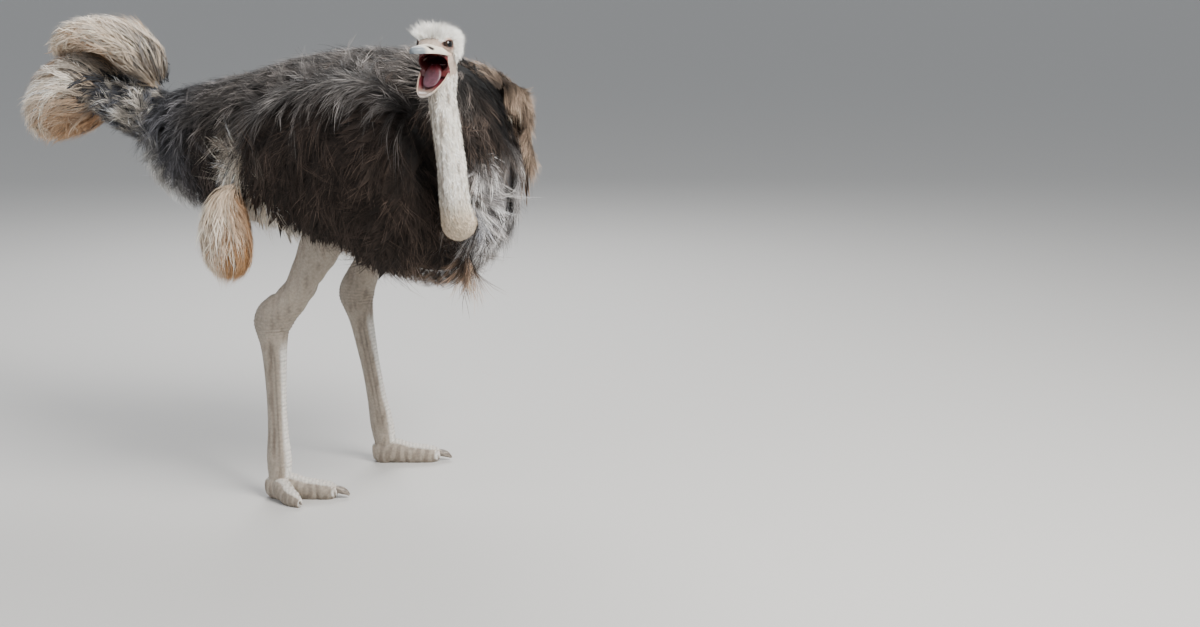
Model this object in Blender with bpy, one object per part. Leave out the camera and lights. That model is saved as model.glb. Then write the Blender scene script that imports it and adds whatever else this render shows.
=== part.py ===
"""A female ostrich standing with her bill wide open, life size, as closed solids in metres.

The bird faces +X, her left side is +Y and +Z is up. She stands on the floor at Z = 0, on the flat
soles of four toes. The solids of the trunk, wings, tail and crown reach out to the feather tips.
Every piece is a loft: rings of points carried along a line. Where two pieces meet, one is cut by a
copy of the other that is grown by GAP, so that they touch without overlapping.
"""

import math

import bmesh
import bpy
import numpy as np

# Driving dimensions.
GAP = 0.0004  # clearance where two pieces meet
TRUNK_REAR = -0.72  # X of the rump
TRUNK_FRONT = 0.535  # X of the breast
HOCK_HEIGHT = 0.533
TOE_JOINT = 0.070  # height of the joint between the shin and the toes
SKULL_HALF_WIDTH = 0.046
BILL_LENGTH = 0.125  # of the upper bill, from the corner of the mouth to the tip
GAPE_DEG = 50.0  # how far the lower jaw drops
HEAD_CENTRE = (0.517, -0.335, 1.360)  # midway between the eyes
HEAD_TURN_DEG = -87.0  # the head looks to the bird's right
HEAD_TILT_DEG = 7.0  # how far the upper bill is raised
EYE_RADIUS = 0.0195

# Colours: (red, green, blue), roughness.
FINISHES = {
    "body_plumage": ((0.060, 0.048, 0.042), 0.85),
    "wing_plumage": ((0.045, 0.034, 0.029), 0.85),
    "white_plumes": ((0.62, 0.50, 0.37), 0.85),
    "neck_down": ((0.58, 0.53, 0.46), 0.80),
    "leg_skin": ((0.42, 0.38, 0.34), 0.65),
    "bill_horn": ((0.46, 0.40, 0.33), 0.45),
    "tongue_flesh": ((0.40, 0.12, 0.13), 0.35),
    "eye_brown": ((0.030, 0.014, 0.008), 0.08),
    "claw_horn": ((0.16, 0.14, 0.12), 0.50),
}


def clear_scene():
    for old in list(bpy.data.objects):
        bpy.data.objects.remove(old)


def finish_named(slot):
    """The material of this name, made on first use."""
    if slot in bpy.data.materials:
        return bpy.data.materials[slot]
    colour, roughness = FINISHES[slot]
    material = bpy.data.materials.new(slot)
    material.use_nodes = True
    shader = material.node_tree.nodes["Principled BSDF"]
    shader.inputs["Base Color"].default_value = (*colour, 1.0)
    shader.inputs["Roughness"].default_value = roughness
    return material


# Curves through key rows.


def smooth_rows(keys, count, spacing=None):
    """count rows read from a Catmull-Rom curve through the key rows, each row being
    (x, y, z, further values). spacing maps 0..1 to 0..1 to crowd rows where they are wanted."""
    keys = np.array(keys, float)
    steps = np.linalg.norm(np.diff(keys[:, :3], axis=0), axis=1)
    knots = np.concatenate([[0.0], np.cumsum(steps)])
    slopes = np.gradient(keys, knots, axis=0)
    share = np.linspace(0.0, 1.0, count)
    if spacing:
        share = spacing(share)
    at = share * knots[-1]
    i = np.clip(np.searchsorted(knots, at, side="right") - 1, 0, len(knots) - 2)
    width = (knots[i + 1] - knots[i])[:, None]
    t = (at - knots[i])[:, None] / width
    start, end = keys[i], keys[i + 1]
    rise = 2 * t**3 - 3 * t**2 + 1
    return (
        rise * start
        + (1 - rise) * end
        + (t**3 - 2 * t**2 + t) * width * slopes[i]
        + (t**3 - t**2) * width * slopes[i + 1]
    )


def crowd_ends(share):
    """Spaces rows closely at both ends, for a shape with round ends."""
    return (1 - np.cos(np.pi * share)) / 2


def round_end(distance, radius):
    """How much of its full width a shape has at this distance from its rounded end."""
    inside = np.clip(1 - distance / radius, 0.0, 1.0)
    return np.sqrt(np.clip(1 - inside**2, 0.0, 1.0))


def unit(vectors):
    return vectors / np.linalg.norm(vectors, axis=-1, keepdims=True)


def tube_rings(rows, wide_hint, sides, grow=0.0, power=2.0):
    """Rings round a path. A row is (x, y, z, half width along the hint, half depth across it)."""
    centres = rows[:, :3]
    along = unit(np.gradient(centres, axis=0))
    hint = np.array(wide_hint, float)
    wide = unit(hint - (along @ hint)[:, None] * along)
    deep = np.cross(along, wide)
    centres = centres.copy()
    centres[0] -= grow * along[0]
    centres[-1] += grow * along[-1]
    angle = np.linspace(0.0, 2 * np.pi, sides, endpoint=False)
    c = np.sign(np.cos(angle)) * np.abs(np.cos(angle)) ** (2 / power)
    s = np.sign(np.sin(angle)) * np.abs(np.sin(angle)) ** (2 / power)
    half_wide = (rows[:, 3] + grow)[:, None, None]
    half_deep = (rows[:, 4] + grow)[:, None, None]
    across = half_wide * c[None, :, None] * wide[:, None, :]
    return centres[:, None, :] + across + half_deep * s[None, :, None] * deep[:, None, :]


def length_of_tube(rows, wide_hint, sides, span, grow=0.0):
    """The rings of one length of a tube, drawn in by half a gap where it parts from the next."""
    first, last = span
    rings = tube_rings(rows, wide_hint, sides, grow)
    along = unit(np.gradient(rows[:, :3], axis=0))
    part = rings[first : last + 1].copy()
    if first > 0:
        part[0] += (GAP / 2 - grow) * along[first]
    if last < len(rows) - 1:
        part[-1] -= (GAP / 2 - grow) * along[last]
    return part


# Meshes.


def end_cap(base, sides, folded):
    """One flat face, or a strip of quads when the ring runs out along a sheet and back again."""
    if not folded:
        return [tuple(range(base, base + sides))]
    last = base + sides - 1
    return [(base + j, base + j + 1, last - j - 1, last - j) for j in range(sides // 2 - 1)]


def solid_from_rings(name, rings, slot, floor=None, folded=False):
    """One closed mesh: two triangles for each step round and along, and a cap at each end."""
    if floor is not None:
        rings = rings.copy()
        rings[..., 2] = np.maximum(rings[..., 2], floor)
    count, sides = rings.shape[:2]
    mesh = bpy.data.meshes.new(name)
    faces = []
    for i in range(count - 1):
        for j in range(sides):
            here, beside = i * sides + j, i * sides + (j + 1) % sides
            faces.append((here, beside, beside + sides))
            faces.append((here, beside + sides, here + sides))
    faces += end_cap(0, sides, folded) + end_cap((count - 1) * sides, sides, folded)
    mesh.from_pydata(rings.reshape(-1, 3).tolist(), [], faces)
    tidy = bmesh.new()
    tidy.from_mesh(mesh)
    bmesh.ops.remove_doubles(tidy, verts=tidy.verts, dist=0.00005)
    bmesh.ops.dissolve_degenerate(tidy, edges=tidy.edges, dist=0.00005)
    bmesh.ops.recalc_face_normals(tidy, faces=tidy.faces)
    if tidy.calc_volume(signed=True) < 0:
        bmesh.ops.reverse_faces(tidy, faces=tidy.faces)
    tidy.to_mesh(mesh)
    tidy.free()
    mesh.shade_smooth()
    mesh.materials.append(finish_named(slot))
    made = bpy.data.objects.new(name, mesh)
    bpy.context.scene.collection.objects.link(made)
    return made


def as_cutter(obj):
    obj.hide_render = True
    obj.display_type = "WIRE"
    return obj


def cut(target, *cutters):
    for cutter in cutters:
        trim = target.modifiers.new("cut_by_" + cutter.name, "BOOLEAN")
        trim.operation = "DIFFERENCE"
        trim.object = cutter


# The trunk, whose surface the wings also follow.

TRUNK_KEYS = [  # x, 0, height of the middle, half height, half width
    (TRUNK_REAR, 0.0, 1.048, 0.105, 0.095),
    (-0.55, 0.0, 1.026, 0.178, 0.170),
    (-0.35, 0.0, 1.022, 0.225, 0.228),
    (-0.05, 0.0, 1.030, 0.288, 0.280),
    (0.20, 0.0, 1.004, 0.330, 0.296),
    (0.40, 0.0, 0.992, 0.328, 0.282),
    (TRUNK_FRONT, 0.0, 0.968, 0.290, 0.245),
]
TRUNK_ROUND_REAR = 0.14
TRUNK_ROUND_FRONT = 0.20
TRUNK_POWER = 2.15  # a little squarer than an ellipse


def trunk_section(x):
    """Height of the middle, half height and half width of the trunk at each x."""
    table = smooth_rows(TRUNK_KEYS, 200)
    middle, high, wide = (np.interp(x, table[:, 0], table[:, k]) for k in (2, 3, 4))
    rounding = round_end(x - TRUNK_REAR, TRUNK_ROUND_REAR) * round_end(
        TRUNK_FRONT - x, TRUNK_ROUND_FRONT
    )
    return middle, high * rounding, wide * rounding


def trunk_point(x, angle, side, lift):
    """A point lift above the trunk's skin, where angle runs from the spine (0) down the flank to
    the keel (180 degrees), on side +1 (left) or -1 (right)."""
    middle, high, wide = trunk_section(x)
    c, s = np.cos(angle), np.sin(angle)
    cp = np.sign(c) * np.abs(c) ** (2 / TRUNK_POWER)
    sp = np.abs(s) ** (2 / TRUNK_POWER)
    y, z = (wide + lift) * sp, (high + lift) * cp
    return np.stack([x + 0 * y, side * y, middle + z], axis=-1)


def trunk(grow=0.0, name="trunk"):
    x = TRUNK_REAR + (TRUNK_FRONT - TRUNK_REAR) * crowd_ends(np.linspace(0.015, 0.985, 16))
    angle = np.linspace(0, 2 * np.pi, 18, endpoint=False)
    grid_x, grid_a = np.meshgrid(x, angle, indexing="ij")
    rings = trunk_point(grid_x, grid_a, 1.0, grow)
    rings[..., 1] *= np.where(grid_a > np.pi, -1.0, 1.0)
    rings[0, :, 0] -= grow
    rings[-1, :, 0] += grow
    return solid_from_rings(name, rings, "body_plumage")


# Wings: a lens of feathers whose edges follow lines drawn on the trunk's surface.


def edge_rows(edge, count):
    """Rows (x, angle in radians) spaced evenly by length, where a metre counts as 200 degrees."""
    keys = [(x, degrees / 200, 0.0) for x, degrees in edge]
    return smooth_rows(keys, count)[:, :2] * (1.0, math.radians(200))


def wing(name, side, upper, lower, lift_inside, lift_outside, grow=0.0, slot="wing_plumage"):
    """upper and lower are the wing's two edges, as rows (x, angle in degrees) from the shoulder
    to the tip. lift_inside and lift_outside give the heights of its two faces over the trunk's
    surface as functions of the share along (0..1) and the share down (0..1)."""
    along_count, down_count = 11, 7
    a, d = np.meshgrid(
        np.linspace(0, 1, along_count), np.linspace(0, 1, down_count), indexing="ij"
    )
    top = edge_rows(upper, along_count)
    foot = edge_rows(lower, along_count)
    x = top[:, :1] * (1 - d) + foot[:, :1] * d
    angle = top[:, 1:] * (1 - d) + foot[:, 1:] * d
    inner = trunk_point(x, angle, side, lift_inside(a, d) - grow)
    outer = trunk_point(x, angle, side, lift_outside(a, d) + grow)
    # Each ring runs down the outer face and back up the inner one.
    rings = np.concatenate([outer, inner[:, ::-1]], axis=1)
    return solid_from_rings(name, rings, slot, folded=True)


def lens(a, d):
    """0 at the edges of a wing and 1 in the middle."""
    return (np.sin(np.pi * np.clip(a, 0.02, 0.98)) * np.sin(np.pi * np.clip(d, 0.02, 0.98))) ** 0.55


WING_THICKNESS = 0.050


def right_wing(grow=0.0, name="wing_right"):
    """Folded against the flank."""
    return wing(
        name,
        -1.0,
        upper=[(0.42, 62), (0.27, 42), (0.06, 46), (-0.10, 62), (-0.22, 82)],
        lower=[(0.43, 94), (0.34, 126), (0.13, 130), (-0.06, 122), (-0.20, 102)],
        lift_inside=lambda a, d: -0.030 - 0.02 * lens(a, d),
        lift_outside=lambda a, d: 0.004 + WING_THICKNESS * lens(a, d),
        grow=grow,
    )


def left_wing(grow=0.0, name="wing_left"):
    """Lifted off the flank in front, with a hollow behind its leading edge."""

    def stand_off(a, d):
        return 0.125 * np.clip(1.15 - 1.25 * a, 0, 1) ** 0.8 * np.clip(d * 2.2, 0, 1)

    return wing(
        name,
        1.0,
        upper=[(0.42, 46), (0.29, 36), (0.06, 42), (-0.10, 60), (-0.22, 82)],
        lower=[(0.43, 88), (0.34, 106), (0.13, 126), (-0.06, 122), (-0.20, 102)],
        lift_inside=lambda a, d: -0.030 + stand_off(a, d),
        lift_outside=lambda a, d: 0.012 + stand_off(a, d) + 0.9 * WING_THICKNESS * lens(a, d),
        grow=grow,
    )


def wing_plume(name, side, grow=0.0):
    """The white plumes that hang from the tip of a wing, with the tips curled in."""
    keys = [  # x, y, z, half width, half depth
        (-0.178, side * 0.282, 0.962, 0.026, 0.018),
        (-0.200, side * 0.292, 0.925, 0.052, 0.034),
        (-0.215, side * 0.302, 0.850, 0.086, 0.045),
        (-0.218, side * 0.302, 0.770, 0.088, 0.046),
        (-0.222, side * 0.296, 0.705, 0.066, 0.040),
        (-0.225, side * 0.290, 0.672, 0.024, 0.018),
    ]
    rows = smooth_rows(keys, 10)
    return solid_from_rings(name, tube_rings(rows, (1, 0, 0), 12, grow), "white_plumes")


# The tail: a dark stump, an arched upper plume and a hanging mass of lower plumes.


def tail_base(grow=0.0, name="tail_base"):
    keys = [
        (-0.590, 0.0, 1.072, 0.070, 0.070),
        (-0.680, 0.0, 1.092, 0.092, 0.078),
        (-0.770, 0.0, 1.122, 0.108, 0.080),
        (-0.850, 0.0, 1.158, 0.104, 0.070),
        (-0.900, 0.0, 1.182, 0.070, 0.050),
        (-0.920, 0.0, 1.192, 0.025, 0.020),
    ]
    rows = smooth_rows(keys, 8)
    return solid_from_rings(name, tube_rings(rows, (0, 1, 0), 12, grow), "body_plumage")


def tail_plume_upper(grow=0.0, name="tail_plume_upper"):
    keys = [
        (-0.680, 0.0, 1.195, 0.060, 0.032),
        (-0.730, 0.0, 1.258, 0.086, 0.044),
        (-0.800, 0.0, 1.315, 0.106, 0.046),
        (-0.870, 0.0, 1.342, 0.116, 0.044),
        (-0.945, 0.0, 1.340, 0.116, 0.042),
        (-1.015, 0.0, 1.312, 0.098, 0.036),
        (-1.058, 0.0, 1.268, 0.050, 0.022),
    ]
    rows = smooth_rows(keys, 10)
    return solid_from_rings(name, tube_rings(rows, (0, 1, 0), 14, grow), "white_plumes")


def tail_plume_lower(grow=0.0, name="tail_plume_lower"):
    keys = [
        (-0.835, 0.0, 1.165, 0.070, 0.055),
        (-0.885, 0.0, 1.190, 0.122, 0.090),
        (-0.950, 0.0, 1.192, 0.150, 0.110),
        (-1.020, 0.0, 1.162, 0.154, 0.112),
        (-1.085, 0.0, 1.110, 0.134, 0.092),
        (-1.140, 0.0, 1.058, 0.088, 0.056),
        (-1.170, 0.0, 1.025, 0.036, 0.020),
    ]
    rows = smooth_rows(keys, 10)
    return solid_from_rings(name, tube_rings(rows, (0, 1, 0), 14, grow), "white_plumes")


# The neck: one path from the breast to the skull, parted in three.

NECK_KEYS = [  # x, y, z, half width, half depth
    (0.345, 0.015, 0.990, 0.074, 0.074),
    (0.415, -0.060, 0.915, 0.070, 0.072),
    (0.470, -0.150, 0.872, 0.055, 0.057),
    (0.505, -0.222, 0.882, 0.047, 0.049),
    (0.514, -0.252, 0.950, 0.044, 0.046),
    (0.514, -0.265, 1.050, 0.042, 0.044),
    (0.508, -0.276, 1.140, 0.041, 0.043),
    (0.502, -0.284, 1.230, 0.040, 0.042),
    (0.509, -0.288, 1.290, 0.040, 0.042),
    (0.515, -0.296, 1.340, 0.036, 0.036),
]
NECK_ROWS = 28
NECK_PARTS = {"neck_base": (0, 14), "neck_middle": (14, 21), "neck_upper": (21, NECK_ROWS - 1)}


def neck_part(name, grow=0.0, label=None):
    rows = smooth_rows(NECK_KEYS, NECK_ROWS)
    rings = length_of_tube(rows, (1, 0, 0), 12, NECK_PARTS[name], grow)
    return solid_from_rings(label or name, rings, "neck_down")


# The head. It is built in its own frame: forward, to the bird's left, and up.


def head_frame():
    """Unit vectors of the head: forward along the upper bill, left, and up."""
    turn, tilt = math.radians(HEAD_TURN_DEG), math.radians(HEAD_TILT_DEG)
    level = np.array([math.cos(turn), math.sin(turn), 0.0])
    left = np.array([-math.sin(turn), math.cos(turn), 0.0])
    forward = level * math.cos(tilt) + np.array([0, 0, math.sin(tilt)])
    return forward, left, np.cross(forward, left)


def to_world(local):
    """Points given as (forward, left, up) from the middle of the head."""
    forward, left, up = head_frame()
    local = np.asarray(local, float)
    placed = local[..., :1] * forward + local[..., 1:2] * left + local[..., 2:3] * up
    return np.array(HEAD_CENTRE) + placed


def dropped(local, degrees=GAPE_DEG, hinge=(-0.012, 0.0, -0.032)):
    """The same points turned down about the jaw's hinge line."""
    a = math.radians(degrees)
    f, u = local[..., 0] - hinge[0], local[..., 2] - hinge[2]
    turned_f = f * math.cos(a) + u * math.sin(a)
    turned_u = -f * math.sin(a) + u * math.cos(a)
    return np.stack([turned_f + hinge[0], local[..., 1], turned_u + hinge[2]], axis=-1)


def flat_rings(keys, count, sides, grow=0.0, power=2.3):
    """Rings across the head's forward axis. A key is (forward, 0, middle, half width, above, below)."""
    rows = smooth_rows(keys, count, crowd_ends)
    angle = np.linspace(0, 2 * np.pi, sides, endpoint=False)
    c = np.sign(np.cos(angle)) * np.abs(np.cos(angle)) ** (2 / power)
    s = np.sign(np.sin(angle)) * np.abs(np.sin(angle)) ** (2 / power)
    high = np.where(s > 0, rows[:, 4:5], rows[:, 5:6])
    f = rows[:, 0:1] + 0 * c
    left = (rows[:, 3:4] + grow) * c
    up = rows[:, 2:3] + (high + grow) * s
    f[0] -= grow
    f[-1] += grow
    return np.stack([f, left, up], axis=-1)


def skull(grow=0.0, name="head"):
    w = SKULL_HALF_WIDTH
    keys = [
        (-0.078, 0.0, -0.002, 0.012, 0.012, 0.014),
        (-0.066, 0.0, -0.003, 0.030, 0.028, 0.032),
        (-0.038, 0.0, -0.002, w * 0.96, 0.038, 0.040),
        (0.000, 0.0, -0.002, w * 1.04, 0.040, 0.034),
        (0.028, 0.0, -0.004, w * 0.88, 0.028, 0.022),
        (0.046, 0.0, -0.006, w * 0.66, 0.016, 0.014),
        (0.056, 0.0, -0.008, w * 0.40, 0.008, 0.008),
    ]
    return solid_from_rings(name, to_world(flat_rings(keys, 10, 14, grow)), "neck_down")


def jaw_root(grow=0.0, name="jaw_root"):
    """The cheeks and throat that the lower bill grows from, turned down with it."""
    keys = [
        (-0.055, 0.0, -0.036, 0.018, 0.014, 0.012),
        (-0.035, 0.0, -0.038, 0.036, 0.024, 0.020),
        (-0.005, 0.0, -0.041, 0.045, 0.018, 0.020),
        (0.024, 0.0, -0.044, 0.043, 0.008, 0.014),
        (0.038, 0.0, -0.046, 0.036, 0.004, 0.008),
    ]
    return solid_from_rings(name, to_world(dropped(flat_rings(keys, 7, 12, grow))), "neck_down")


def mouth_cavity():
    """The wedge between the open jaws, from the throat to past the lips."""
    keys = [
        (-0.030, 0.0, -0.032, 0.014, 0.006, 0.006),
        (-0.015, 0.0, -0.032, 0.030, 0.009, 0.009),
        (0.010, 0.0, -0.032, 0.038, 0.018, 0.016),
        (0.050, 0.0, -0.032, 0.044, 0.038, 0.036),
        (0.090, 0.0, -0.032, 0.046, 0.060, 0.056),
    ]
    half_open = dropped(flat_rings(keys, 5, 12), GAPE_DEG / 2)
    return as_cutter(solid_from_rings("mouth_cavity", to_world(half_open), "neck_down"))


def upper_bill(name="bill_upper"):
    tip = BILL_LENGTH
    keys = [  # the roof is domed and the underside is nearly flat
        (-0.004, 0.0, -0.022, 0.044, 0.020, 0.004),
        (0.022, 0.0, -0.020, 0.043, 0.022, 0.004),
        (0.050, 0.0, -0.019, 0.038, 0.021, 0.004),
        (0.080, 0.0, -0.020, 0.031, 0.017, 0.004),
        (0.104, 0.0, -0.021, 0.022, 0.012, 0.005),
        (tip - 0.005, 0.0, -0.022, 0.011, 0.007, 0.006),
        (tip, 0.0, -0.024, 0.004, 0.003, 0.004),
    ]
    return solid_from_rings(name, to_world(flat_rings(keys, 9, 12)), "bill_horn")


def lower_bill_rings(grow=0.0):
    tip = BILL_LENGTH - 0.005
    keys = [  # a shallow tray: nearly flat above and keeled below
        (-0.004, 0.0, -0.044, 0.041, 0.003, 0.010),
        (0.028, 0.0, -0.044, 0.043, 0.003, 0.011),
        (0.058, 0.0, -0.044, 0.038, 0.003, 0.010),
        (0.083, 0.0, -0.042, 0.030, 0.003, 0.009),
        (0.103, 0.0, -0.040, 0.021, 0.003, 0.007),
        (tip - 0.005, 0.0, -0.038, 0.011, 0.003, 0.004),
        (tip, 0.0, -0.037, 0.004, 0.002, 0.002),
    ]
    return to_world(dropped(flat_rings(keys, 9, 12, grow)))


def tongue(name="tongue"):
    """A short blunt tongue low in the back of the mouth."""
    keys = [
        (0.004, 0.0, -0.041, 0.014, 0.008, 0.004),
        (0.020, 0.0, -0.041, 0.021, 0.013, 0.004),
        (0.042, 0.0, -0.042, 0.021, 0.010, 0.004),
        (0.058, 0.0, -0.042, 0.013, 0.005, 0.003),
        (0.063, 0.0, -0.042, 0.004, 0.002, 0.002),
    ]
    return solid_from_rings(name, to_world(dropped(flat_rings(keys, 6, 10))), "tongue_flesh")


def crown(name="crown"):
    """The bristly feathers of the crown, out to their tips."""
    keys = [
        (-0.084, 0.0, 0.010, 0.022, 0.014, 0.018),
        (-0.070, 0.0, 0.012, 0.048, 0.036, 0.030),
        (-0.040, 0.0, 0.016, 0.069, 0.052, 0.028),
        (-0.005, 0.0, 0.018, 0.076, 0.052, 0.010),
        (0.028, 0.0, 0.022, 0.066, 0.040, 0.008),
        (0.044, 0.0, 0.022, 0.046, 0.026, 0.008),
        (0.054, 0.0, 0.020, 0.018, 0.012, 0.006),
    ]
    return solid_from_rings(name, to_world(flat_rings(keys, 9, 14)), "neck_down")


def ball(name, centre, radius, slot):
    """A sphere made of rings along the head's left axis."""
    polar = np.linspace(0.05, np.pi - 0.05, 7)
    angle = np.linspace(0, 2 * np.pi, 12, endpoint=False)
    p, q = np.meshgrid(polar, angle, indexing="ij")
    local = np.stack([np.sin(p) * np.cos(q), np.cos(p), np.sin(p) * np.sin(q)], axis=-1)
    return solid_from_rings(name, to_world(np.array(centre) + radius * local), slot)


def eye_centre(side):
    """Set forward of the ears and most of the way to the side of the skull."""
    return (0.010, side * (SKULL_HALF_WIDTH * 1.04 - 0.0165), 0.004)


def make_head(neck_upper):
    head = skull()
    add_jaw = head.modifiers.new("add_jaw", "BOOLEAN")
    add_jaw.operation = "UNION"
    add_jaw.object = as_cutter(jaw_root())
    hollow = mouth_cavity()
    cut(head, hollow)
    skull_cutter = as_cutter(skull(GAP, "skull_cutter"))
    jaw_cutter = as_cutter(jaw_root(GAP, "jaw_cutter"))
    cut(neck_upper, skull_cutter, jaw_cutter)

    top = upper_bill()
    cut(top, skull_cutter)
    bottom = solid_from_rings("bill_lower", lower_bill_rings(), "bill_horn")
    cut(bottom, jaw_cutter)
    bottom_cutter = as_cutter(solid_from_rings("bill_lower_cutter", lower_bill_rings(GAP), "bill_horn"))
    cut(tongue(), jaw_cutter, skull_cutter, bottom_cutter)

    feathers = crown()
    neck_cutter = as_cutter(neck_part("neck_upper", GAP, "neck_upper_cutter"))
    cut(feathers, skull_cutter, neck_cutter)
    for word, side in (("left", 1.0), ("right", -1.0)):
        ball("eye_" + word, eye_centre(side), EYE_RADIUS, "eye_brown")
        socket = ball("socket_" + word, eye_centre(side), EYE_RADIUS + GAP, "eye_brown")
        cut(head, as_cutter(socket))
        cut(feathers, socket)


# The legs. Each is one path from the knee to the toe joint, parted at the hock.


def leg_keys(side):
    """x, y, z, half width fore and aft, half width across."""
    if side < 0:
        knee, mid, low = (0.110, -0.165, 0.920), (0.014, -0.200, 0.735), (-0.053, -0.220, 0.620)
        hock, ankle = (-0.124, -0.228, HOCK_HEIGHT), (-0.121, -0.230, TOE_JOINT)
    else:
        knee, mid, low = (0.100, 0.155, 0.920), (-0.001, 0.168, 0.740), (-0.061, 0.176, 0.635)
        hock, ankle = (-0.100, 0.182, HOCK_HEIGHT + 0.010), (-0.029, 0.209, TOE_JOINT)
    hock, ankle = np.array(hock), np.array(ankle)

    def shin(share):
        return tuple(hock + (ankle - hock) * share)

    return [
        (*knee, 0.092, 0.072),
        (*mid, 0.064, 0.052),
        (*low, 0.050, 0.042),
        (*shin(0.0), 0.058, 0.042),
        (*shin(0.13), 0.043, 0.036),
        (*shin(0.35), 0.034, 0.027),
        (*shin(0.70), 0.033, 0.025),
        (*shin(0.92), 0.040, 0.032),
        (*shin(1.05), 0.034, 0.031),
    ]


LEG_ROWS = 27
LEG_PARTS = {"shank": (0, 10), "hock": (10, 15), "shin": (15, LEG_ROWS - 1)}


def leg_part(side, part, grow=0.0, label=None):
    rows = smooth_rows(leg_keys(side), LEG_ROWS)
    rings = length_of_tube(rows, (1, 0, 0), 12, LEG_PARTS[part], grow)
    return solid_from_rings(label, rings, "leg_skin")


def toe(label, side, heading_deg, keys, grow=0.0, slot="leg_skin", count=9, sides=12):
    """A toe or claw with a flat sole. A key is (ahead, outwards, height, half width, half height),
    measured from the point on the floor under the toe joint."""
    a = math.radians(heading_deg)
    start = smooth_rows(leg_keys(side), LEG_ROWS)[-1]
    placed = [
        (
            start[0] + math.cos(a) * f - side * math.sin(a) * out,
            start[1] + math.sin(a) * f + side * math.cos(a) * out,
            up,
            half_wide,
            half_high,
        )
        for f, out, up, half_wide, half_high in keys
    ]
    rows = smooth_rows(placed, count)
    rings = tube_rings(rows, (-math.sin(a), math.cos(a), 0), sides, grow, power=2.5)
    return solid_from_rings(label, rings, slot, floor=-10 * grow)


MAIN_TOE = [
    (-0.044, 0.000, 0.030, 0.016, 0.022),
    (-0.026, 0.000, 0.031, 0.028, 0.034),
    (0.026, -0.002, 0.035, 0.034, 0.037),
    (0.075, -0.004, 0.027, 0.031, 0.031),
    (0.120, -0.005, 0.024, 0.030, 0.028),
    (0.155, -0.005, 0.021, 0.026, 0.023),
    (0.174, -0.005, 0.018, 0.014, 0.014),
]
OUTER_TOE = [
    (-0.010, 0.006, 0.036, 0.018, 0.020),
    (0.008, 0.026, 0.035, 0.024, 0.030),
    (0.034, 0.052, 0.024, 0.023, 0.026),
    (0.064, 0.078, 0.018, 0.020, 0.020),
    (0.084, 0.094, 0.013, 0.010, 0.012),
]
MAIN_CLAW = [
    (0.156, -0.005, 0.026, 0.010, 0.010),
    (0.178, -0.005, 0.026, 0.013, 0.011),
    (0.196, -0.005, 0.020, 0.010, 0.009),
    (0.210, -0.005, 0.010, 0.004, 0.004),
]


def make_leg(word, side, heading_deg):
    """Returns the cutter that frees the plumage round the shank."""
    leg_part(side, "shank", label=f"leg_{word}_shank")
    leg_part(side, "hock", label=f"leg_{word}_hock")
    leg_part(side, "shin", label=f"leg_{word}_shin")
    shin_cutter = as_cutter(leg_part(side, "shin", GAP, f"shin_cutter_{word}"))
    main = toe(f"leg_{word}_toe_main", side, heading_deg, MAIN_TOE)
    cut(main, shin_cutter)
    main_cutter = as_cutter(toe(f"toe_cutter_{word}", side, heading_deg, MAIN_TOE, 2 * GAP))
    cut(toe(f"leg_{word}_toe_outer", side, heading_deg, OUTER_TOE), shin_cutter, main_cutter)
    claw = toe(
        f"leg_{word}_claw", side, heading_deg, MAIN_CLAW, slot="claw_horn", count=6, sides=8
    )
    cut(claw, main_cutter)
    return as_cutter(leg_part(side, "shank", GAP, f"shank_cutter_{word}"))


def centre_on_floor():
    """Moves everything so that the origin is under the middle of the bounding box."""
    bpy.context.view_layer.update()
    graph = bpy.context.evaluated_depsgraph_get()
    low, high = np.full(3, np.inf), np.full(3, -np.inf)
    for obj in bpy.data.objects:
        if obj.type != "MESH" or obj.hide_render:
            continue
        mesh = obj.evaluated_get(graph).to_mesh()
        points = np.empty(len(mesh.vertices) * 3, np.float32)
        mesh.vertices.foreach_get("co", points)
        points = points.reshape(-1, 3)
        low, high = np.minimum(low, points.min(0)), np.maximum(high, points.max(0))
    middle = (low + high) / 2
    for obj in bpy.data.objects:
        obj.location.x -= float(middle[0])
        obj.location.y -= float(middle[1])


def build():
    clear_scene()
    body = trunk()
    body_cutter = as_cutter(trunk(GAP, "trunk_cutter"))
    shank_cutters = [make_leg("right", -1.0, 20.0), make_leg("left", 1.0, 27.0)]
    for part in ("neck_base", "neck_middle"):
        neck_part(part)
    neck_cutter = as_cutter(neck_part("neck_base", GAP, "neck_base_cutter"))
    stump_cutter = as_cutter(tail_base(GAP, "tail_base_cutter"))
    cut(body, neck_cutter, stump_cutter, *shank_cutters)

    tail_base()
    upper_plume = tail_plume_upper()
    cut(upper_plume, stump_cutter)
    upper_cutter = as_cutter(tail_plume_upper(GAP, "tail_plume_upper_cutter"))
    cut(tail_plume_lower(), stump_cutter, upper_cutter)

    wing_cutters = []
    for make in (right_wing, left_wing):
        cut(make(), body_cutter, neck_cutter, *shank_cutters)
        wing_cutters.append(as_cutter(make(GAP, make.__name__ + "_cutter")))
    for word, side, wing_cutter in (("right", -1.0, wing_cutters[0]), ("left", 1.0, wing_cutters[1])):
        plume = wing_plume("wing_plume_" + word, side)
        cut(plume, body_cutter, wing_cutter, *shank_cutters)

    make_head(neck_part("neck_upper"))
    centre_on_floor()


build()
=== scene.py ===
import math

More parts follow.
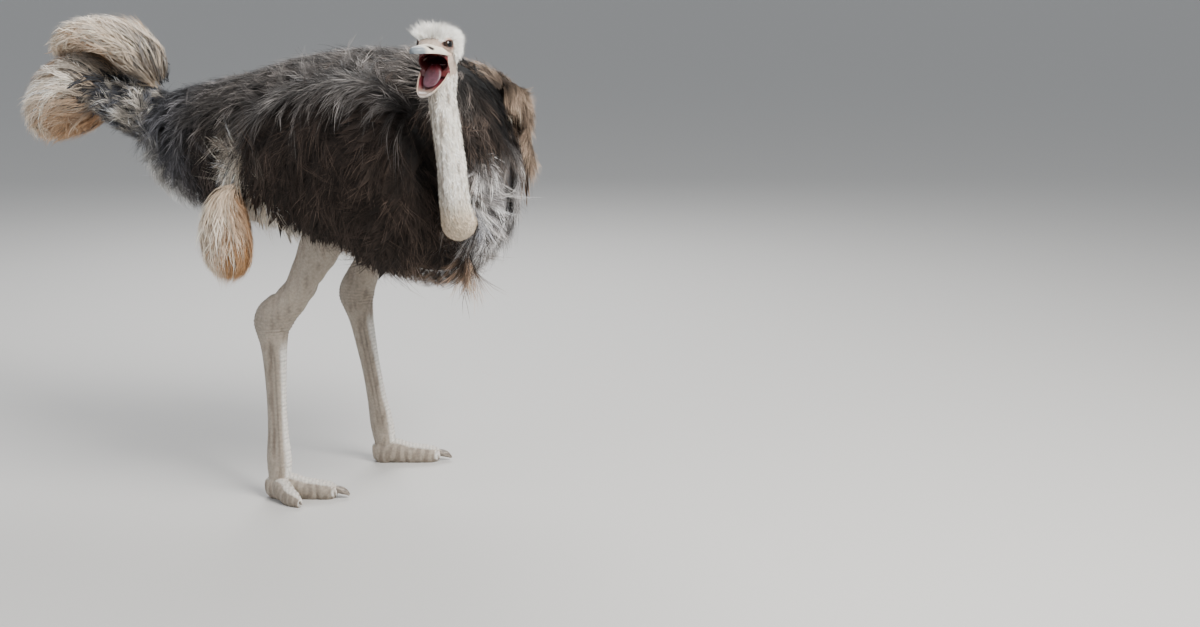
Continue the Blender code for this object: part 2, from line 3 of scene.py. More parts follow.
import bpy
import numpy as np
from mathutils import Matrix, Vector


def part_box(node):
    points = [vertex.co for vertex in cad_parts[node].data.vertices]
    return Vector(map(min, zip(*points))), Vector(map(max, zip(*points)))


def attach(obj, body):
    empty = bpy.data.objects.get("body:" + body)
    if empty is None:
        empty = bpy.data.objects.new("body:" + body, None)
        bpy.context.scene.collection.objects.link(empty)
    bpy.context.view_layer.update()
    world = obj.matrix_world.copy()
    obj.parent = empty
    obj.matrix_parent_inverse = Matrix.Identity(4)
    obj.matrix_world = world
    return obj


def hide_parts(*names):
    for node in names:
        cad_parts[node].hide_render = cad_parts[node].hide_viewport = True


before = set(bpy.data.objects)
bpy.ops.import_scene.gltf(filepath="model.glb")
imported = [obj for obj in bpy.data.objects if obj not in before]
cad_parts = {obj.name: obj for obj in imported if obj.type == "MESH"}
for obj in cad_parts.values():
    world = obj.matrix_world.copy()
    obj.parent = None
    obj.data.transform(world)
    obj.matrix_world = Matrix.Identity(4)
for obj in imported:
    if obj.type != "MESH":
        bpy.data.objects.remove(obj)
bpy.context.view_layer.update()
pi = math.pi
bothSides = {"right": -1.0, "left": 1.0}
sideSigns = tuple(bothSides.values())
print("frame loaded")


# Curves. The bird's own frame is the row frame before the solids were centred on the floor:
# X ahead, Y to her left, Z up. Every piece is made in it and moved by the same shift.


def unit(vectors):
    return vectors / np.maximum(np.linalg.norm(vectors, axis=-1, keepdims=True), 1e-9)


def mixed(first, second, share):
    return first + (second - first) * np.asarray(share)[..., None]


def fade(value, low, high):
    # 0 below low and 1 above high, with a smooth step between.
    t = np.clip((value - low) / (high - low), 0, 1)
    return t * t * (3 - 2 * t)


def bell(value, middle, width):
    # 1 at the middle, falling as exp(-t^2) with t the distance in widths.
    return np.exp(-(((value - middle) / width) ** 2))


def crossed(first, second):
    return np.meshgrid(first, second, indexing="ij")


def turns(count, whole=1):
    # Even steps once round, in shares of a turn or up to another whole.
    return np.linspace(0, whole, count, endpoint=False)


def waves(points, scale, seed):
    # Smooth noise in about -1..1: a mean of sines along random directions.
    rng = np.random.default_rng(seed)
    total = 0.0
    for _ in range(6):
        direction = unit(rng.normal(size=3)) * rng.uniform(0.7, 1.6) * 2 * pi / scale
        total = total + np.sin(points @ direction + rng.uniform(0, 2 * pi))
    return total / 2.6


def crowdEnds(share):
    return (1 - np.cos(pi * share)) / 2


def smoothRows(keys, count, spacing=None):
    # Catmull-Rom: p(t) = h00 p0 + h10 m0 + h01 p1 + h11 m1, with m the gradient at each key.
    keys = np.array(keys, float)
    steps = np.linalg.norm(np.diff(keys[:, :3], axis=0), axis=1)
    knots = np.concatenate([[0.0], np.cumsum(steps)])
    slopes = np.gradient(keys, knots, axis=0)
    share = np.linspace(0.0, 1.0, count)
    at = (spacing(share) if spacing else share) * knots[-1]
    i = np.clip(np.searchsorted(knots, at, side="right") - 1, 0, len(knots) - 2)
    width = (knots[i + 1] - knots[i])[:, None]
    t = (at - knots[i])[:, None] / width
    rise = 2 * t**3 - 3 * t**2 + 1
    tangents = (t**3 - 2 * t**2 + t) * slopes[i] + (t**3 - t**2) * slopes[i + 1]
    return rise * keys[i] + (1 - rise) * keys[i + 1] + width * tangents


def tableOf(keys):
    # A function that reads every column of the smoothed keys at a share 0..1 of the length.
    table = smoothRows(keys, 400)
    share = np.linspace(0, 1, len(table))
    return lambda s: np.stack([np.interp(s, share, column) for column in table.T], axis=-1)


def squashedCircle(angle, power):
    c = np.sign(np.cos(angle)) * np.abs(np.cos(angle)) ** (2 / power)
    s = np.sign(np.sin(angle)) * np.abs(np.sin(angle)) ** (2 / power)
    return c, s


def tubeSurface(table, wideHint, grow=0.0, power=2.0):
    # Row: x, y, z, half width along the hint, half depth across it. A point at share u and turn v
    # is centre + (half width + grow) c(v) wide + (half depth + grow) s(v) deep.
    hint = np.array(wideHint, float)

    def surface(u, v):
        row = table(u)
        extra = grow(u) if callable(grow) else grow
        run = table(np.clip(u + 0.008, 0, 1)) - table(np.clip(u - 0.008, 0, 1))
        along = unit(run[..., :3])
        wide = unit(hint - (along @ hint)[..., None] * along)
        deep = np.cross(along, wide)
        c, s = squashedCircle(2 * pi * v, power)
        halfWide = np.maximum(row[..., 3] + extra, 0.001) * c
        halfDeep = np.maximum(row[..., 4] + extra, 0.001) * s
        return row[..., :3] + halfWide[..., None] * wide + halfDeep[..., None] * deep

    return surface


def gridOf(surface, rows, columns, spacing=None):
    # The surface's points on a grid that goes once round in v.
    u = np.linspace(0, 1, rows)
    u = spacing(u) if spacing else u
    return surface(*crossed(u, turns(columns)))


# The trunk's surface, which the wings follow too.

trunkSizes = {"rear": -0.72, "front": 0.535, "roundRear": 0.14, "roundFront": 0.20, "power": 2.15}
trunkTable = smoothRows(
    (
        (-0.72, 0.0, 1.048, 0.105, 0.095),
        (-0.55, 0.0, 1.026, 0.178, 0.170),
        (-0.35, 0.0, 1.022, 0.225, 0.228),
        (-0.05, 0.0, 1.030, 0.288, 0.280),
        (0.20, 0.0, 1.004, 0.330, 0.296),
        (0.40, 0.0, 0.992, 0.328, 0.282),
        (0.535, 0.0, 0.968, 0.290, 0.245),
    ),
    200,
)


def roundEnd(distance, radius):
    # A quarter circle at an end: sqrt(1 - (1 - distance / radius)^2).
    inside = np.clip(1 - distance / radius, 0.0, 1.0)
    return np.sqrt(np.clip(1 - inside**2, 0.0, 1.0))


def trunkPoint(x, angle, side, lift):
    # A point lift off the trunk: angle runs from the spine (0) down the flank to the keel (pi), and
    # the half width and half height, rounded at both ends, go with sine and cosine to 2 / power.
    middle, high, wide = (np.interp(x, trunkTable[:, 0], trunkTable[:, k]) for k in (2, 3, 4))
    rounding = roundEnd(x - trunkSizes["rear"], trunkSizes["roundRear"])
    rounding = rounding * roundEnd(trunkSizes["front"] - x, trunkSizes["roundFront"])
    c, s = np.cos(angle), np.sin(angle)
    cp = np.sign(c) * np.abs(c) ** (2 / trunkSizes["power"])
    sp = np.abs(s) ** (2 / trunkSizes["power"])
    y = np.maximum(wide * rounding + lift, 0.003) * sp
    z = np.maximum(high * rounding + lift, 0.003) * cp
    return np.stack([x + 0 * y, side * y, middle + z], axis=-1)


def trunkSurface(lift):
    # u runs from rump to breast, and v once round from the spine down her right side.
    def surface(u, v):
        rear, front = trunkSizes["rear"] - 0.5 * lift, trunkSizes["front"] + 0.7 * lift
        x = rear + (front - rear) * crowdEnds(0.02 + 0.96 * np.clip(u, 0, 1))
        angle = 2 * pi * np.clip(v, 0.0002, 0.9998)
        return trunkPoint(x, np.minimum(angle, 2 * pi - angle), np.where(v < 0.5, -1.0, 1.0), lift)

    return surface


# The wings. a runs from the shoulder to the tip and d from the upper edge to the lower one.


def edgeTable(*edge):
    return tableOf([(x, degrees / 200, 0.0) for x, degrees in edge])


wingEdges = {
    "right": (
        edgeTable((0.42, 62), (0.27, 42), (0.06, 46), (-0.10, 62), (-0.22, 82)),
        edgeTable((0.43, 94), (0.34, 126), (0.13, 130), (-0.06, 122), (-0.20, 102)),
    ),
    "left": (
        edgeTable((0.42, 46), (0.29, 36), (0.06, 42), (-0.10, 60), (-0.22, 82)),
        edgeTable((0.43, 88), (0.34, 106), (0.13, 126), (-0.06, 122), (-0.20, 102)),
    ),
}


def lens(a, d):
    # How thick the wing is: nothing at its edges and 1 in the middle.
    return (np.sin(pi * np.clip(a, 0.02, 0.98)) * np.sin(pi * np.clip(d, 0.02, 0.98))) ** 0.55


def wingLift(which, face, a, d):
    if which == "right":
        return -0.030 - 0.02 * lens(a, d) if face == "in" else 0.004 + 0.050 * lens(a, d)
    standOff = 0.125 * np.clip(1.15 - 1.25 * a, 0, 1) ** 0.8 * np.clip(d * 2.2, 0, 1)
    return standOff - 0.030 if face == "in" else standOff + 0.012 + 0.045 * lens(a, d)


def wingSurface(which, face, grow):
    # The point a share d of the way from the upper edge to the lower, at the wing's lift off the
    # trunk, and grow further out.
    def surface(a, d):
        a, d = np.clip(a, 0.005, 0.995), np.clip(d, 0.005, 0.995)
        upper, lower = (edge(a) for edge in wingEdges[which])
        x = upper[..., 0] * (1 - d) + lower[..., 0] * d
        angle = np.radians(200) * (upper[..., 1] * (1 - d) + lower[..., 1] * d)
        return trunkPoint(x, angle, bothSides[which], wingLift(which, face, a, d) + grow)

    return surface


def wingRings(which, inset, rows, columns):
    # Each ring goes down the outside and back up the inside.
    margin = 0.08
    a, d = crossed(*(np.linspace(margin, 1 - margin, count) for count in (rows, columns)))
    outside = wingSurface(which, "out", -inset)(a, d)
    inside = wingSurface(which, "in", inset * 0.4)(a, d)[:, ::-1]
    return np.concatenate([outside, inside], axis=1)


# The plumes and the tail: x, y, z, half width, half depth along each one.


def wingPlumeTable(side):
    return tableOf(
        (
            (-0.178, side * 0.282, 0.962, 0.026, 0.018),
            (-0.200, side * 0.292, 0.925, 0.052, 0.034),
            (-0.215, side * 0.302, 0.850, 0.086, 0.045),
            (-0.218, side * 0.302, 0.770, 0.088, 0.046),
            (-0.222, side * 0.296, 0.705, 0.066, 0.040),
            (-0.225, side * 0.290, 0.672, 0.024, 0.018),
        )
    )


tailBaseTable = tableOf(
    (
        (-0.590, 0.0, 1.072, 0.070, 0.070),
        (-0.680, 0.0, 1.092, 0.092, 0.078),
        (-0.770, 0.0, 1.122, 0.108, 0.080),
        (-0.850, 0.0, 1.158, 0.104, 0.070),
        (-0.900, 0.0, 1.182, 0.070, 0.050),
        (-0.920, 0.0, 1.192, 0.025, 0.020),
    )
)
tailUpperTable = tableOf(
    (
        (-0.680, 0.0, 1.195, 0.060, 0.032),
        (-0.730, 0.0, 1.258, 0.086, 0.044),
        (-0.800, 0.0, 1.315, 0.106, 0.046),
        (-0.870, 0.0, 1.342, 0.116, 0.044),
        (-0.945, 0.0, 1.340, 0.116, 0.042),
        (-1.015, 0.0, 1.312, 0.098, 0.036),
        (-1.058, 0.0, 1.268, 0.050, 0.022),
    )
)
tailLowerTable = tableOf(
    (
        (-0.835, 0.0, 1.165, 0.070, 0.055),
        (-0.885, 0.0, 1.190, 0.122, 0.090),
        (-0.950, 0.0, 1.192, 0.150, 0.110),
        (-1.020, 0.0, 1.162, 0.154, 0.112),
        (-1.085, 0.0, 1.110, 0.134, 0.092),
        (-1.140, 0.0, 1.058, 0.088, 0.056),
        (-1.170, 0.0, 1.025, 0.036, 0.020),
    )
)

# The neck, from the breast to the skull.

neckTable = tableOf(
    (
        (0.345, 0.015, 0.990, 0.074, 0.074),
        (0.415, -0.060, 0.915, 0.070, 0.072),
        (0.470, -0.150, 0.872, 0.055, 0.057),
        (0.505, -0.222, 0.882, 0.047, 0.049),
        (0.514, -0.252, 0.950, 0.044, 0.046),
        (0.514, -0.265, 1.050, 0.042, 0.044),
        (0.508, -0.276, 1.140, 0.041, 0.043),
        (0.502, -0.284, 1.230, 0.040, 0.042),
        (0.509, -0.288, 1.290, 0.040, 0.042),
        (0.515, -0.296, 1.340, 0.036, 0.036),
    )
)

# The head has its own axes: f forward, s to its left and u up, from midway between the eyes.

headSizes = {
    "centre": (0.517, -0.335, 1.360),
    "turnDeg": -87.0,
    "tiltDeg": 7.0,
    "gapeDeg": 50.0,
    "hinge": (-0.012, -0.032),
    "halfWidth": 0.046,
    "eyeRadius": 0.0195,
    "skinDepth": 0.001,
}


def headAxes():
    turn, tilt = math.radians(headSizes["turnDeg"]), math.radians(headSizes["tiltDeg"])
    left = np.array([-math.sin(turn), math.cos(turn), 0.0])
    level = np.array([math.cos(turn), math.sin(turn), 0.0])
    forward = level * math.cos(tilt) + np.array([0, 0, math.sin(tilt)])
    return np.stack([forward, left, np.cross(forward, left)])


headFrame = headAxes()


def fromHead(local):
    return np.array(headSizes["centre"]) + np.asarray(local, float) @ headFrame


def toHead(points):
    return (points - np.array(headSizes["centre"])) @ headFrame.T


def dropped(local, share=1.0):
    # Turned down about the hinge of the jaw by a share of the gape.
    a = math.radians(headSizes["gapeDeg"]) * share
    hingeF, hingeU = headSizes["hinge"]
    f, u = local[..., 0] - hingeF, local[..., 2] - hingeU
    turnedF = f * math.cos(a) + u * math.sin(a)
    turnedU = -f * math.sin(a) + u * math.cos(a)
    return np.stack([turnedF + hingeF, local[..., 1], turnedU + hingeU], axis=-1)


def flatRings(keys, count, sides, grow=0.0, power=2.3):
    # Rings across the head's forward axis. Key: forward, middle, half width, above, below.
    rows = smoothRows([(f, 0.0, middle, *rest) for f, middle, *rest in keys], count, crowdEnds)
    c, s = squashedCircle(turns(sides, 2 * pi), power)
    high = np.where(s > 0, rows[:, 4:5], rows[:, 5:6])
    f = rows[:, 0:1] + 0 * c
    return np.stack([f, (rows[:, 3:4] + grow) * c, rows[:, 2:3] + (high + grow) * s], axis=-1)


def eyeCentre(side):
    return np.array([0.010, side * (headSizes["halfWidth"] * 1.04 - 0.0165), 0.004])


# Everything is moved by the shift that centred the solids.
shift = np.mean(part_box("eye_left"), axis=0) - fromHead(eyeCentre(1.0))
shift[2] = 0.0
print("shift", shift)

# The legs: x, y, z, half width fore and aft, half width across.


def legKeys(side):
    if side < 0:
        knee, mid, low = (0.110, -0.165, 0.920), (0.014, -0.200, 0.735), (-0.053, -0.220, 0.620)
        hock, ankle = (-0.124, -0.228, 0.533), (-0.121, -0.230, 0.070)
    else:
        knee, mid, low = (0.100, 0.155, 0.920), (-0.001, 0.168, 0.740), (-0.061, 0.176, 0.635)
        hock, ankle = (-0.100, 0.182, 0.543), (-0.029, 0.209, 0.070)
    hock, ankle = np.array(hock), np.array(ankle)
    shin = (
        (0.00, 0.058, 0.042),
        (0.13, 0.043, 0.036),
        (0.35, 0.034, 0.027),
        (0.70, 0.033, 0.025),
        (0.92, 0.040, 0.032),
        (1.05, 0.034, 0.031),
    )
    upper = [(*knee, 0.092, 0.072), (*mid, 0.064, 0.052), (*low, 0.050, 0.042)]
    return upper + [(*(hock + (ankle - hock) * share), *halves) for share, *halves in shin]


legTables = {side: tableOf(legKeys(side)) for side in sideSigns}
toeHeadings = {-1.0: math.radians(20.0), 1.0: math.radians(27.0)}
mainToe = (
    (-0.044, 0.000, 0.030, 0.016, 0.022),
    (-0.026, 0.000, 0.031, 0.028, 0.034),
    (0.026, -0.002, 0.035, 0.034, 0.037),
    (0.075, -0.004, 0.027, 0.031, 0.031),
    (0.120, -0.005, 0.024, 0.030, 0.028),
    (0.155, -0.005, 0.021, 0.026, 0.023),
    (0.174, -0.005, 0.018, 0.014, 0.014),
)
outerToe = (
    (-0.010, 0.006, 0.036, 0.018, 0.020),
    (0.008, 0.026, 0.035, 0.024, 0.030),
    (0.034, 0.052, 0.024, 0.023, 0.026),
    (0.064, 0.078, 0.018, 0.020, 0.020),
    (0.084, 0.094, 0.013, 0.010, 0.012),
)
mainClaw = (
    (0.150, -0.005, 0.026, 0.010, 0.010),
    (0.178, -0.005, 0.026, 0.013, 0.011),
    (0.196, -0.005, 0.020, 0.010, 0.009),
    (0.210, -0.005, 0.010, 0.003, 0.003),
)
outerNail = (
    (0.068, 0.081, 0.020, 0.005, 0.005),
    (0.080, 0.091, 0.019, 0.005, 0.005),
    (0.091, 0.100, 0.012, 0.002, 0.002),
)


def toeRings(side, keys, rows, sides, grow=0.0):
    # Keys are ahead, outwards, up, half width and half height, from the floor under the toe joint.
    a = toeHeadings[side]
    start = legTables[side](1.0)
    ahead = np.array([math.cos(a), math.sin(a), 0.0])
    out = side * np.array([-math.sin(a), math.cos(a), 0.0])
    base = np.array([start[0], start[1], 0.0])
    placed = [(*(base + f * ahead + o * out + np.array([0, 0, up])), w, h) for f, o, up, w, h in keys]
    surface = tubeSurface(tableOf(placed), (-math.sin(a), math.cos(a), 0.0), grow, 2.5)
    points = gridOf(surface, rows, sides, crowdEnds)
    points[..., 2] = np.maximum(points[..., 2], 0.0)
    return points


# Meshes from whole arrays.


def gridFaces(rows, columns, wrap=True):
    i, j = crossed(np.arange(rows - 1), np.arange(columns if wrap else columns - 1))
    beside = (j + 1) % columns
    corners = (i * columns + j, i * columns + beside, (i + 1) * columns + beside, (i + 1) * columns + j)
    return np.stack(corners).reshape(4, -1).T


def shellOf(rings):
    # A closed tube: quads between the rings, and a fan to a middle point at each end.
    count, sides = rings.shape[:2]
    ends = [rings[0].mean(0)[None], rings[-1].mean(0)[None]]
    j = np.arange(sides)
    beside = (j + 1) % sides
    base = (count - 1) * sides
    firstFan = np.stack([beside, j, np.full(sides, count * sides)], axis=1)
    lastFan = np.stack([base + j, base + beside, np.full(sides, count * sides + 1)], axis=1)
    faces = gridFaces(count, sides).tolist() + firstFan.tolist() + lastFan.tolist()
    return np.concatenate([rings.reshape(-1, 3)] + ends), faces


def loopShell(rings):
    # A closed loop of closed rings, as a torus.
    count, sides = rings.shape[:2]
    faces = gridFaces(count + 1, sides) % (count * sides)
    return rings.reshape(-1, 3), faces.tolist()


def volumeOf(points, faces):
    fans = [(f[0], f[i], f[i + 1]) for f in faces for i in range(1, len(f) - 1)]
    corner = points[np.array(fans)]
    return np.sum(corner[:, 0] * np.cross(corner[:, 1], corner[:, 2])) / 6


def inScene(name, data):
    thing = bpy.data.objects.new(name, data)
    bpy.context.scene.collection.objects.link(thing)
    return thing


def pieceOf(name, shells):
    # One mesh of one or more closed shells, each with its faces outwards.
    allPoints, allFaces, base = [], [], 0
    for points, faces in shells:
        turned = faces if volumeOf(points, faces) > 0 else [face[::-1] for face in faces]
        allPoints.append(points)
        allFaces += [[base + k for k in face] for face in turned]
        base += len(points)
    mesh = bpy.data.meshes.new(name)
    mesh.from_pydata(np.concatenate(allPoints).tolist(), [], allFaces)
    return inScene(name, mesh)


def joined(parts):
    # Many parts as one. Each is points, triangles, and more arrays with a row to a point.
    columns = list(zip(*parts))
    starts = np.cumsum([0] + [len(points) for points in columns[0]])
    triangles = [np.asarray(faces) + start for faces, start in zip(columns[1], starts)]
    return [np.concatenate(column) for column in (columns[0], triangles, *columns[2:])]


def applied(piece):
    # The piece with its modifiers made real.
    graph = bpy.context.evaluated_depsgraph_get()
    mesh = bpy.data.meshes.new_from_object(piece.evaluated_get(graph))
    piece.modifiers.clear()
    piece.data = mesh
    return piece


def melted(name, shells, voxel, smoothing):
    # Overlapping closed shells melted into one skin.
    piece = pieceOf(name, shells)
    melt = piece.modifiers.new("melt", "REMESH")
    melt.mode = "VOXEL"
    melt.voxel_size = voxel
    soften = piece.modifiers.new("soften", "SMOOTH")
    soften.iterations = smoothing
    soften.factor = 0.5
    return applied(piece)


def combined(piece, other, operation):
    step = piece.modifiers.new("step", "BOOLEAN")
    step.operation = operation
    step.solver = "EXACT"
    step.object = other
    applied(piece)
    bpy.data.objects.remove(other)
    return piece


def pointsOf(mesh, what="co"):
    values = np.empty(len(mesh.vertices) * 3)
    mesh.vertices.foreach_get(what, values)
    return values.reshape(-1, 3)


def normalsOf(mesh):
    return pointsOf(mesh, "normal")


def movePoints(mesh, points):
    mesh.vertices.foreach_set("co", np.asarray(points, float).ravel())
    mesh.update()


def paint(mesh, colours, roughness):
    # The point colour named tone, with the roughness as its fourth value.
    rough = np.broadcast_to(roughness, len(colours))[:, None]
    values = np.concatenate([np.clip(colours, 0, 1), rough], axis=1)
    layer = mesh.attributes.new("tone", "FLOAT_COLOR", "POINT")
    layer.data.foreach_set("color", values.ravel())


def finishPiece(piece, slot, material, *nodes):
    movePoints(piece.data, pointsOf(piece.data) + shift)
    piece.data.materials.clear()
    piece.data.materials.append(material)
    piece.data.shade_smooth()
    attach(piece, "root")
    if nodes:
        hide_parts(*nodes)
    return piece


# Materials. Each reads the tone attribute and adds a fine pattern of its own on Object coordinates.


def setInputs(tree, node, inputs):
    # An input takes a value, or a link from another node's output.
    for word, value in inputs.items():
        if isinstance(value, bpy.types.NodeSocket):
            tree.links.new(value, node.inputs[word])
        else:
            node.inputs[word].default_value = value


def addNode(tree, kind, inputs, **settings):
    # Adds a node with its settings and inputs, and gives its outputs.
    node = tree.nodes.new("ShaderNode" + kind)
    for word, value in settings.items():
        setattr(node, word, value)
    setInputs(tree, node, inputs)
    return node.outputs


def mapRange(tree, value, fromEnds, toEnds=(0.0, 1.0)):
    ends = {"From Min": fromEnds[0], "From Max": fromEnds[1], "To Min": toEnds[0], "To Max": toEnds[1]}
    return addNode(tree, "MapRange", {"Value": value, **ends})["Result"]


def newMaterial(name):
    material = bpy.data.materials.new(name)
    material.use_nodes = True
    return material, material.node_tree


def toneMaterial(name, look):
    material, tree = newMaterial(name)
    tone = addNode(tree, "Attribute", {}, attribute_name="tone")
    place = addNode(tree, "TexCoord", {})["Object"]
    speck = addNode(tree, "TexNoise", {"Vector": place, "Scale": look["speckScale"], "Detail": 4})["Fac"]
    shade = mapRange(tree, speck, (0.3, 0.7), (1 - look["speck"], 1 + look["speck"]))
    colour = addNode(tree, "VectorMath", {0: tone["Color"], "Scale": shade}, operation="SCALE")["Vector"]
    inputs = {
        "Base Color": colour,
        "Roughness": tone["Alpha"],
        "Specular IOR Level": look["specular"],
        "Coat Weight": look.get("coat", 0.0),
        "Coat Roughness": 0.06,
        "Subsurface Weight": look.get("flesh", 0.0),
        "Subsurface Radius": (0.006, 0.002, 0.001),
    }
    if "bump" in look:
        inputs["Normal"] = bumpFrom(tree, place, tone["Alpha"], look)
    setInputs(tree, tree.nodes["Principled BSDF"], inputs)
    return material


def bumpFrom(tree, place, roughness, look):
    # Fine grain, and where the look has scales, the gaps between Voronoi cells. It fades where the
    # roughness is low, as on wet flesh.
    grain = {"Vector": place, "Scale": look["bumpScale"], "Detail": 6}
    height = addNode(tree, "TexNoise", grain)["Fac"]
    if "scales" in look:
        cells = {"Vector": place, "Scale": look["scales"]}
        gap = addNode(tree, "TexVoronoi", cells, feature="DISTANCE_TO_EDGE")["Distance"]
        plate = mapRange(tree, gap, (0.0, 0.12))
        height = addNode(tree, "Math", {0: plate, 1: height}, operation="ADD")["Value"]
    strength = mapRange(tree, roughness, (0.28, 0.36), (0.1 * look["bump"], look["bump"]))
    raised = {"Strength": strength, "Distance": look["bumpDepth"], "Height": height}
    return addNode(tree, "Bump", raised)["Normal"]


looks = {
    "feathers": {"speck": 0.15, "speckScale": 60, "specular": 0.12},
    "bareSkin": {"speck": 0.16, "speckScale": 140, "specular": 0.35, "flesh": 0.06, "scales": 430},
    "billHorn": {"speck": 0.10, "speckScale": 90, "specular": 0.45},
    "wetFlesh": {"speck": 0.25, "speckScale": 110, "specular": 0.35, "coat": 0.1, "flesh": 0.10},
    "eyeGlass": {"speck": 0.2, "speckScale": 600, "specular": 0.3, "coat": 0.3},
}
looks["bareSkin"].update(bump=0.35, bumpScale=320, bumpDepth=0.0012)
looks["billHorn"].update(bump=0.3, bumpScale=180, bumpDepth=0.0006)
looks["wetFlesh"].update(bump=0.25, bumpScale=150, bumpDepth=0.001)
allMaterials = (toneMaterial(name, look) for name, look in looks.items())
feathers, bareSkin, billHorn, wetFlesh, eyeGlass = allMaterials


# Markings, shared by skin and coat: the colours at the root and at the tip of a feather.

shades = {
    name: np.array(value)
    for name, value in {
        "back": (0.018, 0.016, 0.015),
        "backTip": (0.110, 0.097, 0.089),
        "flank": (0.0065, 0.0054, 0.0050),
        "flankTip": (0.034, 0.024, 0.019),
        "rump": (0.015, 0.016, 0.020),
        "rumpTip": (0.090, 0.093, 0.106),
        "breast": (0.300, 0.285, 0.290),
        "breastTip": (0.740, 0.715, 0.690),
        "skirt": (0.010, 0.008, 0.007),
        "skirtTip": (0.120, 0.080, 0.055),
        "cream": (0.660, 0.520, 0.380),
        "creamTip": (0.930, 0.835, 0.710),
        "plumeWhite": (1.000, 0.960, 0.890),
        "vent": (0.130, 0.120, 0.115),
        "ventTip": (0.620, 0.590, 0.540),
        # Near black: painted shadow in the hollow between the shoulder and the far wing.
        "hollow": (0.0030, 0.0026, 0.0024),
        "hollowTip": (0.0060, 0.0052, 0.0048),
        # Warm orange-brown painted shade, for the undersides of the white plumes.
        "warmShade": (0.300, 0.140, 0.055),
        "warmShadeTip": (0.560, 0.330, 0.165),
        "farWing": (0.028, 0.020, 0.015),
        "farWingTip": (0.260, 0.190, 0.140),
        "neck": (0.900, 0.845, 0.750),
        "neckDark": (0.250, 0.205, 0.165),
        "neckTan": (0.520, 0.410, 0.290),
        "crown": (1.000, 0.970, 0.900),
        "face": (0.420, 0.335, 0.275),
        "eyeRing": (0.420, 0.260, 0.210),
        "lining": (0.040, 0.005, 0.006),
        "gape": (0.100, 0.022, 0.022),
        "leg": (0.340, 0.290, 0.235),
        "legDark": (0.130, 0.098, 0.075),
        "legPale": (0.860, 0.830, 0.780),
    }.items()
}


def allOf(shade, points):
    return np.tile(shade, (len(points), 1))


def rootAndTip(name, points):
    return allOf(shades[name], points), allOf(shades[name + "Tip"], points)


def toned(tones, name, share):
    # The colours of root and tip, mixed towards those of a shade.
    base, tip = tones
    return mixed(base, shades[name], share), mixed(tip, shades[name + "Tip"], share)


def bodyMarkings(points):
    x, y, z = points.T
    edge = np.interp(x, (-0.60, -0.24, -0.10, 0.12, 0.50), (1.02, 1.11, 1.18, 1.23, 1.24))
    vent = fade(-x, 0.45, 0.56) * fade(-z, -1.03, -0.96)
    vent = np.maximum(vent, fade(-x, 0.54, 0.60) * fade(-z, -1.09, -1.05))
    fluff = fade(-x, 0.02, 0.06) * fade(x, -0.24, -0.18) * fade(-z, -0.91, -0.86)
    fluff = np.maximum(fluff, belowWing(points)) * fade(np.abs(y), 0.10, 0.16)
    streaks = fade(waves(np.stack([x, y + 0.25 * z, 0.12 * z], axis=1), 0.060, 5), -0.75, -0.05)
    breast = fade(x + 0.30 * y, 0.42, 0.47) * fade(z, 0.72, 0.79) * fade(-z, -1.10, -1.00) * streaks
    layers = {
        "back": fade(z + 0.03 * waves(points, 0.20, 3) - edge, -0.02, 0.04),
        "rump": 0.75 * fade(-x, 0.30, 0.55),
        "skirt": fade(-z, -0.82, -0.70),
        "vent": vent,
        "cream": fluff,
        "breast": breast * fade(-y, -0.16, -0.05),
        "farWing": fade(x, 0.28, 0.36) * fade(y, 0.15, 0.20) * fade(z, 0.98, 1.06),
        # Painted shadow, near black, between the shoulder and the lifted far wing.
        "hollow": underFarWing(points),
    }
    tones = rootAndTip("flank", points)
    for name, share in layers.items():
        tones = toned(tones, name, share)
    return tones


def underFarWing(points):
    # Deep in the shadow between the shoulder and the lifted far wing, where the coat and the skin under it
    # are painted near black as painted shadow.
    x, y, z = points.T
    return fade(x, 0.34, 0.39) * fade(y, -0.030, 0.000) * fade(-y, -0.19, -0.15) * fade(z, 1.09, 1.13)


def rightWingMarkings(points):
    base, tip = bodyMarkings(points)
    x, _, z = points.T
    pale = fade(-x, 0.10, 0.18) * fade(z, 0.94, 1.02) * 0.3
    base, tip = mixed(base, shades["neck"] * 0.5, pale), mixed(tip, shades["creamTip"] * 0.8, pale)
    return toned((base, tip), "cream", belowWing(points))


def belowWing(points):
    # The cream fluff that shows under the lower rear edge of the wing.
    x, _, z = points.T
    return fade(1.020 - 0.9 * (x + 0.12) - z, -0.005, 0.015) * fade(-x, -0.03, 0.0) * fade(x, -0.26, -0.21)


def covertMarkings(points):
    base, tip = bodyMarkings(points)
    return base, np.minimum(tip * 1.3 + 0.08, 0.5)


def darkVanes(points):
    # The broad feathers of the folded wing are darker than the loose ones over them.
    base, tip = rightWingMarkings(points)
    return base, mixed(np.minimum(tip * 0.8, 0.10), shades["creamTip"], belowWing(points))


def farWingMarkings(points):
    return toned(rootAndTip("flank", points), "farWing", fade(points[:, 0], 0.22, 0.40))


def tailBaseMarkings(points):
    base, tip = rootAndTip("rump", points)
    return base * 0.7, mixed(tip, shades["creamTip"] * 0.8, fade(waves(points, 0.05, 17), 0.0, 0.5))


def plumeMarkings(warmShadeMask):
    # Cream, with a warm orange-brown painted shade on the part that the given mask picks.
    def markings(points):
        share = np.clip(warmShadeMask(points) + 0.25 * waves(points, 0.06, 19), 0, 1)
        return toned(rootAndTip("cream", points), "warmShade", share)

    return markings


